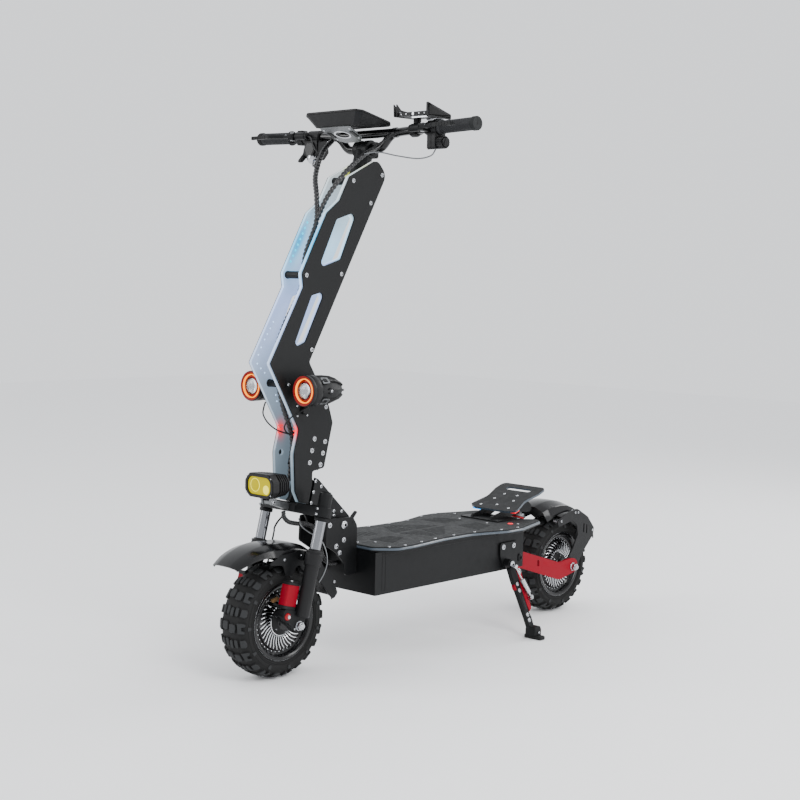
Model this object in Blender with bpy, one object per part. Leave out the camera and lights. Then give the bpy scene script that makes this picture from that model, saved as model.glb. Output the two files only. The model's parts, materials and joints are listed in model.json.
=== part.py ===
"""Electric kick scooter with off-road tyres, a telescopic fork and a sprung swing arm.

Metres, +Z up.  The scooter faces -Y, its left side is +X, and it stands on Z = 0
with the origin under the middle of its length.  The steering frame has its origin
in the front axle and its Z along the raked steering axis.
"""
import bpy
import bmesh
from math import atan2, cos, hypot, pi, radians, sin
from mathutils import Matrix, Vector

# ---------------------------------------------------------------- driving sizes
GAP = 0.0003                 # clearance between touching pieces
WHEELBASE = 1.140
TYRE_R = 0.145
TYRE_HALF_WIDTH = 0.0545
TYRE_SIDES = 36
RIM_FLANGE_R = 0.098
BEAD_R = 0.0912
RAKE = radians(14.4)         # steering axis, measured from the vertical
LEG_X = 0.1025               # fork legs
STANCHION_R = 0.0135
CROWN_LOW = 0.272            # fork crown, along the steering axis
CROWN_TOP = 0.296
AXLE_R = 0.0065
PANEL_IN = 0.0285            # stem sides: clear panel, then black plate
PANEL_OUT = 0.0362
PLATE_IN = 0.0365
PLATE_OUT = 0.0415
PANEL_WINDOW = 0.94          # the panel's windows, as a share of the plate's
DECK_HALF_WIDTH = 0.120
DECK_FRONT = -0.325
DECK_REAR = 0.289
DECK_LOW = 0.187
DECK_TOP = 0.2992
PLATE_TOP = 0.3100
MAT_TOP = 0.3125
BAR_R = 0.0111
GRIP_R = 0.0160
SIDES = (("left", 1), ("right", -1))

FRONT_AXLE = Vector((0, -WHEELBASE / 2, TYRE_R))
REAR_AXLE = Vector((0, WHEELBASE / 2, TYRE_R))
FOLD_PIVOT = Vector((0, -0.373, 0.369))
LEVER_PIVOT = Vector((0, -0.340, 0.372))
ARM_PIVOT = Vector((0, 0.2730, 0.2140))
SHOCK_TOP = Vector((0, 0.415, 0.333))
SHOCK_FOOT = Vector((0, 0.372, 0.186))
KICK_PIVOT = Vector((0.141, 0.205, 0.207))
LAMP_AXIS = Vector((0, -0.520, 0.715))
HEADLAMP_PIVOT = Vector((0, -0.588, 0.4440))
BAR_CENTRE = Vector((0, -0.272, 1.335))
BAR_BEND = Vector((0.115, -0.272, 1.374))
BAR_END = Vector((0.386, -0.285, 1.380))

STEER = Matrix.Translation(FRONT_AXLE) @ Matrix.Rotation(-RAKE, 4, "X")
AXIS_X = Vector((1, 0, 0))
AXIS_Y = Vector((0, 1, 0))
AXIS_Z = Vector((0, 0, 1))


def steer_point(x, y, s):
    """A point of the steering frame: s runs up the axis and y points rearwards."""
    return STEER @ Vector((x, y, s))


# ---------------------------------------------------------------- scene and finishes
for old in list(bpy.data.objects):
    bpy.data.objects.remove(old, do_unlink=True)


def finish(name, colour, roughness, metallic):
    """A Principled material with one colour."""
    made = bpy.data.materials.new(name)
    made.use_nodes = True
    shader = made.node_tree.nodes["Principled BSDF"]
    shader.inputs["Base Color"].default_value = (*colour, 1)
    shader.inputs["Roughness"].default_value = roughness
    shader.inputs["Metallic"].default_value = metallic
    return made


BLACK = finish("black_paint", (0.015, 0.016, 0.018), 0.45, 0.2)
GLOSS = finish("gloss_black", (0.008, 0.008, 0.010), 0.12, 0.0)
RED = finish("red_paint", (0.55, 0.015, 0.03), 0.35, 0.1)
CHROME = finish("chrome", (0.75, 0.76, 0.78), 0.12, 1.0)
RUBBER = finish("rubber", (0.02, 0.02, 0.021), 0.85, 0.0)
CLEAR = finish("clear_panel", (0.62, 0.74, 0.82), 0.2, 0.0)
YELLOW = finish("yellow_lens", (0.9, 0.75, 0.02), 0.2, 0.0)
PLASTIC = finish("black_plastic", (0.02, 0.02, 0.022), 0.4, 0.0)
CELL = finish("battery_wrap", (0.05, 0.12, 0.3), 0.5, 0.0)
ALLOY = finish("alloy", (0.5, 0.51, 0.53), 0.35, 1.0)

JOINTS = {}


def joint_empty(name, place):
    """An empty on a joint's axis, the parent of the pieces that move with it."""
    made = bpy.data.objects.new(name, None)
    made.location = place
    bpy.context.collection.objects.link(made)
    JOINTS[name] = made
    return made


def attach(piece, parent):
    """Parent a piece to a joint's empty without moving it."""
    bpy.context.view_layer.update()
    piece.parent = JOINTS[parent]
    piece.matrix_parent_inverse = JOINTS[parent].matrix_world.inverted()


def piece(name, mesh, material, parent=None):
    """Add one named object with its material, smooth where it is round."""
    made = bpy.data.objects.new(name, mesh)
    bpy.context.collection.objects.link(made)
    if material:
        mesh.materials.append(material)
    mesh.shade_smooth()
    mesh.set_sharp_from_angle(angle=radians(35))
    if parent:
        attach(made, parent)
    return made


def combine(target, tool_mesh, operation):
    """Cut a tool from the target, or join it to it; the tool is only a guide."""
    tool = bpy.data.objects.new(target.name + "_tool", tool_mesh)
    bpy.context.collection.objects.link(tool)
    tool.hide_render = True
    tool.display_type = "WIRE"
    modifier = target.modifiers.new("combine", "BOOLEAN")
    modifier.operation = operation
    modifier.object = tool


def cut(target, *tools):
    """Cut each tool mesh from the target."""
    for tool in tools:
        combine(target, tool, "DIFFERENCE")


def join(target, *tools):
    """Join each tool mesh to the target as one body."""
    for tool in tools:
        combine(target, tool, "UNION")


# ---------------------------------------------------------------- shape makers
def mesh_from(vertices, faces):
    """A mesh from lists, with its faces pointing out."""
    mesh = bpy.data.meshes.new("shape")
    mesh.from_pydata([tuple(v) for v in vertices], [], faces)
    shell = bmesh.new()
    shell.from_mesh(mesh)
    bmesh.ops.recalc_face_normals(shell, faces=shell.faces)
    shell.to_mesh(mesh)
    shell.free()
    return mesh


def ring_faces(ring_count, ring_size, first_loop_closed=False):
    """Quads between successive rings of points, and the two end caps or the closing strip."""
    faces = []
    last = ring_count if first_loop_closed else ring_count - 1
    for ring in range(last):
        here = ring * ring_size
        there = (ring + 1) % ring_count * ring_size
        for k in range(ring_size):
            nxt = (k + 1) % ring_size
            faces.append((here + k, here + nxt, there + nxt, there + k))
    if not first_loop_closed:
        faces.append(tuple(range(ring_size - 1, -1, -1)))
        faces.append(tuple((ring_count - 1) * ring_size + k for k in range(ring_size)))
    return faces


def box(low, high, frame=None):
    """A box between two corners, in the given frame."""
    corners = [(low[0], high[0]), (low[1], high[1]), (low[2], high[2])]
    points = [Vector((x, y, z)) for z in corners[2] for y in corners[1] for x in corners[0]]
    if frame:
        points = [frame @ p for p in points]
    faces = [(0, 2, 3, 1), (4, 5, 7, 6), (0, 1, 5, 4), (2, 6, 7, 3), (0, 4, 6, 2), (1, 3, 7, 5)]
    return mesh_from(points, faces)


def rounded(corners, steps=3):
    """An outline whose corners (a, b, radius) are arcs; a radius of 0 keeps the corner."""
    outline = []
    count = len(corners)
    for k, (a, b, radius) in enumerate(corners):
        here = Vector((a, b))
        back = Vector(corners[k - 1][:2]) - here
        ahead = Vector(corners[(k + 1) % count][:2]) - here
        if radius == 0:
            outline.append(here)
            continue
        angle = back.angle(ahead)
        reach = min(radius / abs(sin(angle / 2) / cos(angle / 2)), 0.49 * min(back.length, ahead.length))
        true_radius = reach * abs(sin(angle / 2) / cos(angle / 2))
        centre = here + (back.normalized() + ahead.normalized()).normalized() * hypot(reach, true_radius)
        start = here + back.normalized() * reach - centre
        end = here + ahead.normalized() * reach - centre
        turn = start.angle_signed(end)
        for step in range(steps + 1):
            part = -turn * step / steps
            outline.append(centre + Matrix.Rotation(part, 2) @ start)
    return outline


def circle(a, b, radius, count=20):
    """A circle as an outline."""
    turn = 2 * pi / count
    return [Vector((a + radius * cos(turn * k), b + radius * sin(turn * k))) for k in range(count)]


def prism_x(outline, low, high):
    """An outline in Y and Z, drawn out along X."""
    count = len(outline)
    points = [Vector((x, p[0], p[1])) for x in (low, high) for p in outline]
    return mesh_from(points, ring_faces(2, count))


def prism_z(outline, low, high, frame=None):
    """An outline in X and Y, drawn out along Z of the given frame."""
    count = len(outline)
    points = [Vector((p[0], p[1], z)) for z in (low, high) for p in outline]
    if frame:
        points = [frame @ p for p in points]
    return mesh_from(points, ring_faces(2, count))


def frame_along(start, direction):
    """A frame at start whose Z runs along direction."""
    return Matrix.Translation(start) @ direction.to_track_quat("Z", "Y").to_matrix().to_4x4()


def rod(start, end, radius, count=14):
    """A round bar between two points."""
    run = Vector(end) - Vector(start)
    return prism_z(circle(0, 0, radius, count), 0, run.length, frame_along(Vector(start), run))


def rod_x(place, low, high, radius, count=14):
    """A round bar along X through a place, between two values of X."""
    return rod((low, place[1], place[2]), (high, place[1], place[2]), radius, count)


def turned(profile, start, direction, count=20):
    """A closed profile of (radius, height) turned about an axis."""
    frame = frame_along(Vector(start), Vector(direction))
    points = []
    for k in range(count):
        turn = 2 * pi * k / count
        points += [frame @ Vector((r * cos(turn), r * sin(turn), h)) for r, h in profile]
    return mesh_from(points, ring_faces(count, len(profile), True))


def turned_solid(profile, start, direction, count=16):
    """A profile of (radius, height) turned into a solid with flat ends."""
    frame = frame_along(Vector(start), Vector(direction))
    points = []
    for r, h in profile:
        points += [frame @ p.to_3d() + frame.to_3x3() @ Vector((0, 0, h)) for p in circle(0, 0, r, count)]
    return mesh_from(points, ring_faces(len(profile), count))


def smooth_route(points, spacing):
    """Points at an even spacing along a Catmull-Rom curve through the route's points."""
    fence = [2 * points[0] - points[1]] + points + [2 * points[-1] - points[-2]]
    dense = []
    for k in range(1, len(fence) - 2):
        p0, p1, p2, p3 = fence[k - 1:k + 3]
        for step in range(24):
            t = step / 24
            dense.append(0.5 * (2 * p1 + (p2 - p0) * t + (2 * p0 - 5 * p1 + 4 * p2 - p3) * t ** 2
                                + (3 * p1 - p0 - 3 * p2 + p3) * t ** 3))
    dense.append(points[-1])
    kept = [dense[0]]
    for p in dense[1:-1]:
        if (p - kept[-1]).length >= spacing and (p - dense[-1]).length > 0.6 * spacing:
            kept.append(p)
    return kept + [dense[-1]]


def cord(name, route, radius, material, spacing=2.5):
    """A cable: a round-bevelled curve through the route, with filled ends."""
    curve = bpy.data.curves.new(name, "CURVE")
    curve.dimensions = "3D"
    curve.bevel_depth = radius
    curve.bevel_resolution = 2
    curve.use_fill_caps = True
    points = smooth_route([Vector(p) for p in route], 2 * radius * spacing)
    spline = curve.splines.new("POLY")
    spline.points.add(len(points) - 1)
    for slot, p in zip(spline.points, points):
        slot.co = (*p, 1)
    curve.materials.append(material)
    made = bpy.data.objects.new(name, curve)
    bpy.context.collection.objects.link(made)
    return made


def cord_mesh(route, radius):
    """The same cable as a mesh, for joining to another."""
    guide = cord("cord_guide", route, radius, BLACK)
    bpy.context.view_layer.update()
    mesh = bpy.data.meshes.new_from_object(guide.evaluated_get(bpy.context.evaluated_depsgraph_get()))
    bpy.data.objects.remove(guide, do_unlink=True)
    mesh.materials.clear()
    return mesh


def fender_shell(centre, front, rear, ridge, half_width, drop, thickness=0.003, steps=12):
    """A mudguard: a domed strip swept about the axle from one angle to the other.

    Angles run from straight ahead (0) over the top (90 degrees) to straight behind.
    ridge gives the crown's radius, half_width the strip's and drop how deep its lips hang.
    """
    section = ((-1.0, 1.0), (-0.92, 0.40), (-0.45, 0.06), (0.45, 0.06), (0.92, 0.40), (1.0, 1.0))
    points = []
    for step in range(steps + 1):
        part = step / steps
        angle = front + (rear - front) * part
        outward = Vector((0, -cos(angle), sin(angle)))
        outer = []
        inner = []
        for across, down in section:
            radius = ridge(part) - drop(part) * down
            side = half_width(part) * across
            outer.append(centre + outward * radius + AXIS_X * side)
            shrink = 1 - thickness / half_width(part)
            inner.append(centre + outward * (radius - thickness * (down < 1)) + AXIS_X * side * shrink)
        points += outer + inner[::-1]
    return mesh_from(points, ring_faces(steps + 1, 2 * len(section)))


# ---------------------------------------------------------------- wheels
def tyre(name, centre, parent):
    """The tyre: a round-shouldered ring, open towards the rim."""
    half = ((BEAD_R, 0.0400), (0.0985, 0.0402), (0.107, 0.0510), (0.117, TYRE_HALF_WIDTH),
            (0.133, 0.0500), (0.1425, 0.0330), (TYRE_R, 0.0140))
    hollow = ((0.131, 0.026), (0.117, 0.0440), (BEAD_R, 0.032))
    outer = [(r, h) for r, h in half] + [(r, -h) for r, h in half[::-1]]
    inner = [(r, -h) for r, h in hollow[::-1]] + [(r, h) for r, h in hollow]
    return piece(name, turned(outer + inner, centre, AXIS_X, TYRE_SIDES), RUBBER, parent)


def hub_motor(name, centre, parent):
    """Rim and hub motor in one shell, with a bore for the fixed axle."""
    half = ((0.0078, 0.0470), (0.0210, 0.0470), (0.0300, 0.0360), (0.0830, 0.0320),
            (0.0880, 0.0445), (RIM_FLANGE_R, 0.0445), (RIM_FLANGE_R, 0.0406), (BEAD_R - 0.0010, 0.0404))
    profile = [(r, h) for r, h in half] + [(r, -h) for r, h in half[::-1]]
    return piece(name, turned(profile, centre, AXIS_X, TYRE_SIDES), ALLOY, parent)


def brake_disc(name, centre, parent):
    """The brake disc on the hub's right side."""
    profile = ((0.0100, -0.0498), (0.0100, -0.0474), (0.0700, -0.0474), (0.0700, -0.0498))
    return piece(name, turned(profile, centre, AXIS_X, 24), CHROME, parent)


def axle(name, centre, nut_in, nut_out, parent):
    """A wheel axle with its nut at each end."""
    profile = ((AXLE_R, -nut_out - 0.005), (AXLE_R, -nut_out), (0.0125, -nut_out), (0.0125, -nut_in),
               (AXLE_R, -nut_in), (AXLE_R, nut_in), (0.0125, nut_in), (0.0125, nut_out),
               (AXLE_R, nut_out), (AXLE_R, nut_out + 0.005))
    return piece(name, turned_solid(profile, centre, AXIS_X, 18), CHROME, parent)


# ---------------------------------------------------------------- chassis
def deck_outline(inset):
    """The foot deck seen from above: round front, a waist and wings behind."""
    half = ((0.105, DECK_FRONT, 0.03), (0.152, -0.275, 0.05), (0.152, -0.210, 0.08), (0.133, -0.075, 0.12),
            (0.133, 0.045, 0.12), (0.168, 0.165, 0.07), (0.168, 0.225, 0.03), (0.122, 0.366, 0.012),
            (0.096, 0.374, 0.012), (0.052, 0.330, 0.010))
    right = [(x - inset, y + inset * (1 if y < 0 else -1), r) for x, y, r in half]
    left = [(-x, y, r) for x, y, r in right[::-1]]
    return rounded(right + left, 5)


def chassis():
    """Battery deck, its inner parts, the neck bracket and the footrest."""
    inner = 0.004
    rear_wall = 0.228
    case = piece("deck_case", box((-DECK_HALF_WIDTH, DECK_FRONT, DECK_LOW),
                                  (DECK_HALF_WIDTH, DECK_REAR, DECK_TOP)), BLACK)
    cut(case, box((-DECK_HALF_WIDTH + inner, DECK_FRONT + inner, DECK_LOW + inner),
                  (DECK_HALF_WIDTH - inner, rear_wall - inner, DECK_TOP + 0.01)))
    cut(case, box((-DECK_HALF_WIDTH + inner, rear_wall, DECK_LOW - 0.01),
                  (DECK_HALF_WIDTH - inner, DECK_REAR + 0.01, DECK_TOP + 0.01)))
    stand_plate = rounded([(0.178, 0.266, 0.006), (0.178, 0.232, 0.01), (0.192, 0.192, 0.006),
                           (0.256, 0.192, 0.006), (0.256, 0.266, 0.006)])
    join(case, prism_x(stand_plate, DECK_HALF_WIDTH - 0.002, 0.126), rod_x(KICK_PIVOT, 0.118, 0.149, 0.0065))
    cut(case, rod_x(ARM_PIVOT, -0.13, 0.13, 0.0073))

    piece("deck_plate", prism_z(deck_outline(0), DECK_TOP + GAP, PLATE_TOP), BLACK)
    piece("grip_mat", prism_z(deck_outline(0.010), PLATE_TOP + GAP, MAT_TOP), RUBBER)
    piece("battery_pack", box((-0.108, -0.300, DECK_LOW + 0.0045), (0.108, 0.110, 0.290)), CELL)
    piece("motor_controller", box((-0.080, 0.125, DECK_LOW + 0.0045), (0.080, 0.215, 0.245)), ALLOY)

    side = rounded([(-0.434, 0.389, 0.006), (-0.340, 0.386, 0.008), (DECK_FRONT - GAP, 0.364, 0.006),
                    (DECK_FRONT - GAP, 0.237, 0), (-0.365, 0.235, 0.008), (-0.373, 0.272, 0.02),
                    (-0.398, 0.298, 0.02), (-0.437, 0.322, 0.01)])
    bracket = piece("neck_bracket", prism_x(side, 0.0455, 0.0515), BLACK)
    join(bracket, prism_x(side, -0.0515, -0.0455))
    join(bracket, box((-0.048, -0.347, 0.2375), (0.048, DECK_FRONT - GAP, 0.300)))
    cut(bracket, rod_x(FOLD_PIVOT, -0.06, 0.06, 0.0063), rod_x(LEVER_PIVOT, 0.03, 0.06, 0.0034, 12))
    bolt = ((0.0095, -0.0570), (0.0095, -0.0518), (0.0060, -0.0518), (0.0060, 0.0518),
            (0.0095, 0.0518), (0.0095, 0.0570))
    piece("fold_pivot_bolt", turned_solid(bolt, FOLD_PIVOT, AXIS_X, 18), CHROME)
    shaft = ((0.0100, -0.1265), (0.0100, -0.1203), (0.0070, -0.1203), (0.0070, 0.1203),
             (0.0100, 0.1203), (0.0100, 0.1265))
    piece("arm_pivot_shaft", turned_solid(shaft, ARM_PIVOT, AXIS_X, 18), CHROME)
    footrest()


FOOTREST = Matrix.Translation((0, 0.286, 0.3335)) @ Matrix.Rotation(radians(19.5), 4, "X")
FOOTREST_THICK = 0.006


def footrest():
    """The raised rear foot plate on its welded stand, which also holds the shock."""
    half = ((0.060, 0.0, 0.02), (0.088, 0.012, 0.012), (0.070, 0.075, 0.06), (0.082, 0.128, 0.04),
            (0.080, 0.168, 0.016))
    outline = rounded(list(half) + [(-x, y, r) for x, y, r in half[::-1]], 5)
    slot = rounded([(0.046, 0.128, 0.0085), (0.046, 0.147, 0.0085), (-0.046, 0.147, 0.0085),
                    (-0.046, 0.128, 0.0085)])
    plate = piece("footrest_plate", prism_z(outline, 0, FOOTREST_THICK, FOOTREST), BLACK)
    cut(plate, prism_z(slot, -0.01, 0.02, FOOTREST))

    under = [FOOTREST @ Vector((0, y, -GAP)) for y in (-0.004, 0.110)]
    cheek = [(0.235, MAT_TOP + GAP, 0), (0.322, MAT_TOP + GAP, 0.01), (0.360, 0.328, 0.02),
             (0.402, 0.322, 0.010), (0.427, 0.322, 0.010), (0.427, 0.342, 0.008),
             (under[1].y, under[1].z, 0), (under[0].y, under[0].z, 0), (0.245, 0.325, 0.006)]
    stand = piece("footrest_support", prism_x(rounded(cheek), 0.0325, 0.0385), BLACK)
    join(stand, prism_x(rounded(cheek), -0.0385, -0.0325))
    join(stand, box((-0.070, 0.232, MAT_TOP + GAP), (0.070, 0.320, MAT_TOP + 0.004)))
    join(stand, rod_x(SHOCK_TOP, -0.035, 0.035, 0.0050, 14))


# ---------------------------------------------------------------- neck
def neck():
    """The folding neck: head tube, two webs and the hinge barrel."""
    head = ((0.0149, 0.3000), (0.0235, 0.3000), (0.0235, 0.3060), (0.0222, 0.3080), (0.0222, 0.3660),
            (0.0235, 0.3680), (0.0235, 0.3850), (0.0149, 0.3850))
    frame = piece("neck_frame", turned(head, FRONT_AXLE, STEER.to_3x3() @ AXIS_Z, 18), BLACK, "fold_hinge")
    corners = [steer_point(0, 0.0245, 0.3680), steer_point(0, 0.0360, 0.3660)]
    low = [steer_point(0, 0.060, 0.274), steer_point(0, 0.048, 0.3005), steer_point(0, 0.0245, 0.3015)]
    web = [(corners[0].y, corners[0].z, 0), (corners[1].y, corners[1].z, 0.006), (-0.330, 0.384, 0.006),
           (-0.345, 0.348, 0.012), (-0.386, 0.343, 0.015), (-0.425, 0.362, 0.015)]
    web += [(p.y, p.z, 0) for p in low]
    for sign in (1, -1):
        low, high = sorted((0.0220 * sign, 0.0280 * sign))
        join(frame, prism_x(rounded(web), low, high))
    core = [steer_point(0, 0.012, 0.3700), steer_point(0, 0.052, 0.3480), steer_point(0, 0.060, 0.3150),
            steer_point(0, 0.012, 0.3040)]
    join(frame, prism_x(rounded([(core[0].y, core[0].z, 0), (core[1].y, core[1].z, 0.01),
                                 (core[2].y, core[2].z, 0.01), (core[3].y, core[3].z, 0)]), -0.0170, 0.0170))
    join(frame, box((-0.0250, 0.0300, 0.3120), (0.0250, 0.0480, 0.3480), STEER))
    join(frame, rod_x(FOLD_PIVOT, -0.0402, 0.0402, 0.0180, 18))
    cut(frame, rod_x(FOLD_PIVOT, -0.06, 0.06, 0.0063))
    cut(frame, rod(steer_point(0, 0, 0.29), steer_point(0, 0, 0.40), 0.0149, 18))


def fold_lever():
    """The lever at the back of the bracket that frees the neck, with its pin."""
    arm = rounded([(-0.3465, 0.3700, 0.003), (-0.3435, 0.3655, 0.003), (-0.3350, 0.3665, 0.003),
                   (-0.3100, 0.3935, 0.003), (-0.3140, 0.3985, 0.003)])
    lever = piece("fold_lever", prism_x(arm, 0.0300, 0.0365), BLACK, "fold_lever_hinge")
    join(lever, rod_x(LEVER_PIVOT, 0.0290, 0.0440, 0.0065, 16), rod_x(LEVER_PIVOT, 0.040, 0.0520, 0.0030, 12))


# ---------------------------------------------------------------- fork
def hull_outline(circles, count=14):
    """The convex outline round a row of circles (x, y, radius) that lie along X."""
    right, left = circles[0], circles[-1]
    points = []
    for x, y, radius, start in ((*right, -pi / 2), (*left, pi / 2)):
        points += [Vector((x + radius * cos(start + pi * k / count), y + radius * sin(start + pi * k / count)))
                   for k in range(count + 1)]
    return points


def fork():
    """Crown with steerer and leg caps, the chrome stanchions and the sliding lowers."""
    arms = hull_outline(((LEG_X, 0, 0.0235), (-LEG_X, 0, 0.0235)))
    crown = piece("fork_crown", prism_z(arms, CROWN_LOW, CROWN_TOP, STEER), BLACK, "steering")
    join(crown, prism_z(circle(0, 0, 0.034), CROWN_LOW + 0.0010, CROWN_TOP - 0.0005, STEER))
    join(crown, rod(steer_point(0, 0, CROWN_TOP - 0.004), steer_point(0, 0, 0.4780), 0.0145, 18))
    nose = [steer_point(0, -0.020, CROWN_LOW + 0.002), steer_point(0, -0.020, CROWN_TOP - 0.004)]
    arm = [(nose[0].y, nose[0].z, 0), (nose[1].y, nose[1].z, 0),
           (HEADLAMP_PIVOT.y - 0.001, HEADLAMP_PIVOT.z + 0.0055, 0.003),
           (HEADLAMP_PIVOT.y - 0.001, HEADLAMP_PIVOT.z - 0.0055, 0.003)]
    join(crown, prism_x(rounded(arm), -0.0120, 0.0120))
    join(crown, rod_x(HEADLAMP_PIVOT, -0.0120, 0.0120, 0.0070, 16))
    for sign in (1, -1):
        x = sign * LEG_X
        join(crown, rod(steer_point(x, 0, CROWN_TOP - 0.004), steer_point(x, 0, 0.3350), 0.0170, 16))
        cut(crown, rod(steer_point(x, 0, 0.26), steer_point(x, 0, 0.3305), STANCHION_R + GAP, 18))

    for side, sign in SIDES:
        x = sign * LEG_X
        up = STEER.to_3x3() @ AXIS_Z
        start = steer_point(x, 0, 0)
        stanchion = turned_solid(((STANCHION_R, 0.0900), (STANCHION_R, 0.3300)), start, up, 18)
        piece("stanchion_" + side, stanchion, CHROME, "steering")
        leg = ((0.0180, 0.0240), (0.0180, 0.1480), (0.0220, 0.1520), (0.0220, 0.1880))
        lower = piece("fork_lower_" + side, turned_solid(leg, start, up, 18), BLACK, "fork_slide")
        cut(lower, rod(steer_point(x, 0, 0.0450), steer_point(x, 0, 0.20), STANCHION_R + GAP, 18))
        join(lower, axle_lug(sign))
        cut(lower, rod_x(FRONT_AXLE, sign * 0.06, sign * 0.13, AXLE_R + GAP, 18))
        body = rounded([(0.0690, -0.0580, 0.004), (0.0960, -0.0580, 0.004), (0.0960, -0.0190, 0.004),
                        (0.0690, -0.0190, 0.004)], 2)
        tank = [Vector((sign * p.x, p.y)) for p in body]
        piece("canister_" + side, prism_z(tank, 0.0345, 0.1040, STEER), RED, "fork_slide")
    axle("front_axle", FRONT_AXLE, 0.0990, 0.1100, "fork_slide")


def axle_lug(sign):
    """The axle lug under a fork leg, drawn in the steering frame, with a shelf for the canister."""
    lug = [(0.0180, -0.0080, 0.01), (0.0178, 0.0500, 0), (-0.0178, 0.0500, 0), (-0.0178, 0.0340, 0),
           (-0.0560, 0.0340, 0.006), (-0.0600, 0.0180, 0.008), (-0.0220, -0.0080, 0.01), (-0.006, -0.0190, 0.01),
           (0.0100, -0.0190, 0.01)]
    outline = rounded(lug)
    low, high = sorted((sign * 0.0765, sign * 0.0985))
    points = [STEER @ Vector((x, p.x, p.y)) for x in (low, high) for p in outline]
    return mesh_from(points, ring_faces(2, len(outline)))


def front_fender():
    """The front mudguard with its two stays to the fork lowers."""
    def ridge(part):
        return 0.226 - 0.028 * min(part / 0.35, 1) - 0.022 * max(part - 0.55, 0) / 0.45

    def half_width(part):
        return 0.050 + 0.012 * min(part / 0.25, 1)

    def drop(part):
        return 0.014 + 0.022 * min(part / 0.35, 1) - 0.014 * max(part - 0.6, 0) / 0.4

    shell = fender_shell(FRONT_AXLE, radians(43.5), radians(166), ridge, half_width, drop)
    guard = piece("front_fender", shell, GLOSS, "fork_slide")
    for sign in (1, -1):
        low, high = sorted((sign * 0.0585, sign * 0.0800))
        join(guard, box((low, -0.014, 0.158), (high, 0.014, 0.182), STEER))


# ---------------------------------------------------------------- stem
STEM_FRONT = ((-0.2670, 1.3080, 0.020), (-0.3650, 1.2590, 0.010), (-0.3990, 1.1970, 0.010),
              (-0.4420, 1.1640, 0.010), (-0.5240, 1.0110, 0.012), (-0.5190, 0.9770, 0.012),
              (-0.6245, 0.7895, 0.008), (-0.5255, 0.6230, 0.020), (-0.5410, 0.5630, 0.050),
              (-0.5360, 0.4690, 0.010))
STEM_BACK = ((-0.4790, 0.5150, 0.006), (-0.4390, 0.5215, 0.008), (-0.4110, 0.6350, 0.012),
             (-0.4250, 0.6770, 0.012), (-0.4965, 0.7910, 0.010), (-0.3960, 0.9740, 0.080),
             (-0.2320, 1.2710, 0.028))


def stem_outline(forward):
    """The side of the stem; forward moves its front edge out to show the panel's rim."""
    front = [(y - forward, z, r) for y, z, r in STEM_FRONT]
    foot_front = steer_point(0, -0.026 - forward, CROWN_TOP + 0.0020)
    foot_back = steer_point(0, 0.004, CROWN_TOP + 0.0020)
    neck_back = steer_point(0, 0.004, 0.350)
    feet = [(foot_front.y, foot_front.z, 0), (foot_back.y, foot_back.z, 0), (neck_back.y, neck_back.z, 0)]
    return rounded(front + feet + list(STEM_BACK))


def stem():
    """Black side plates, the clear light panels inside them and what ties them together."""
    windows = (((-0.4100, 1.1490, 0.010), (-0.3360, 1.1730, 0.012), (-0.3920, 1.0490, 0.012),
                (-0.4700, 1.0240, 0.010)),
               ((-0.4920, 0.9570, 0.008), (-0.4440, 0.9690, 0.010), (-0.5100, 0.8410, 0.010),
                (-0.5530, 0.8250, 0.010)))
    for side, sign in SIDES:
        low, high = sorted((sign * PLATE_IN, sign * PLATE_OUT))
        plate = piece("stem_plate_" + side, prism_x(stem_outline(0), low, high), BLACK, "steering")
        for window in windows:
            cut(plate, prism_x(rounded(window), low - 0.01, high + 0.01))
        cut(plate, rod_x(LAMP_AXIS, low - 0.01, high + 0.01, 0.0088))
        low, high = sorted((sign * PANEL_IN, sign * PANEL_OUT))
        panel = piece("light_panel_" + side, prism_x(stem_outline(0.003), low, high), CLEAR, "steering")
        for window in windows:
            middle_y = sum(corner[0] for corner in window) / 4
            middle_z = sum(corner[1] for corner in window) / 4
            smaller = [(middle_y + (y - middle_y) * PANEL_WINDOW, middle_z + (z - middle_z) * PANEL_WINDOW, r)
                       for y, z, r in window]
            cut(panel, prism_x(rounded(smaller), low - 0.01, high + 0.01))
        cut(panel, rod_x(LAMP_AXIS, low - 0.01, high + 0.01, 0.0088))

    inside = PANEL_IN - GAP
    block = piece("stem_clamp_block", box((-inside, -0.028, 0.3880), (inside, 0.028, 0.4780), STEER),
                  BLACK, "steering")
    cut(block, rod(steer_point(0, 0, 0.38), steer_point(0, 0, 0.49), 0.0148, 18))
    piece("cross_rod_upper", rod((-inside, -0.353, 1.249), (inside, -0.353, 1.249), 0.0085, 18), BLACK, "steering")
    piece("cross_rod_middle", rod((-inside, -0.511, 1.007), (inside, -0.511, 1.007), 0.0085, 18), BLACK, "steering")
    piece("lamp_bar", rod_x(LAMP_AXIS, -0.0560, 0.0560, 0.0085), BLACK, "steering")

    outline = rounded([(-0.296, 1.262, 0.004), (-0.256, 1.262, 0.004), (-0.247, 1.300, 0.02),
                       (-0.246, 1.345, 0.012), (-0.262, 1.357, 0.008), (-0.286, 1.357, 0.010),
                       (-0.302, 1.340, 0.012), (-0.300, 1.300, 0.02)])
    top = piece("stem_top_block", prism_x(outline, -0.0260, 0.0260), BLACK, "steering")
    cut(top, rod_x(BAR_CENTRE, -0.05, 0.05, 0.0148, 18))


# ---------------------------------------------------------------- handlebar and controls
BAR_RUN = (BAR_END - BAR_BEND).normalized()


def bar_at(x):
    """The middle of the bar at a distance x from the scooter's middle plane."""
    return BAR_BEND + BAR_RUN * ((abs(x) - BAR_BEND.x) / BAR_RUN.x)


def on_side(place, sign):
    """The same place on the left (1) or right (-1) side."""
    return Vector((sign * abs(place.x), place.y, place.z))


def bar_tube(start_x, end_x, radius, sign, count=20):
    """A round piece about the bar between two distances from the middle."""
    return rod(on_side(bar_at(start_x), sign), on_side(bar_at(end_x), sign), radius, count)


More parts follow.
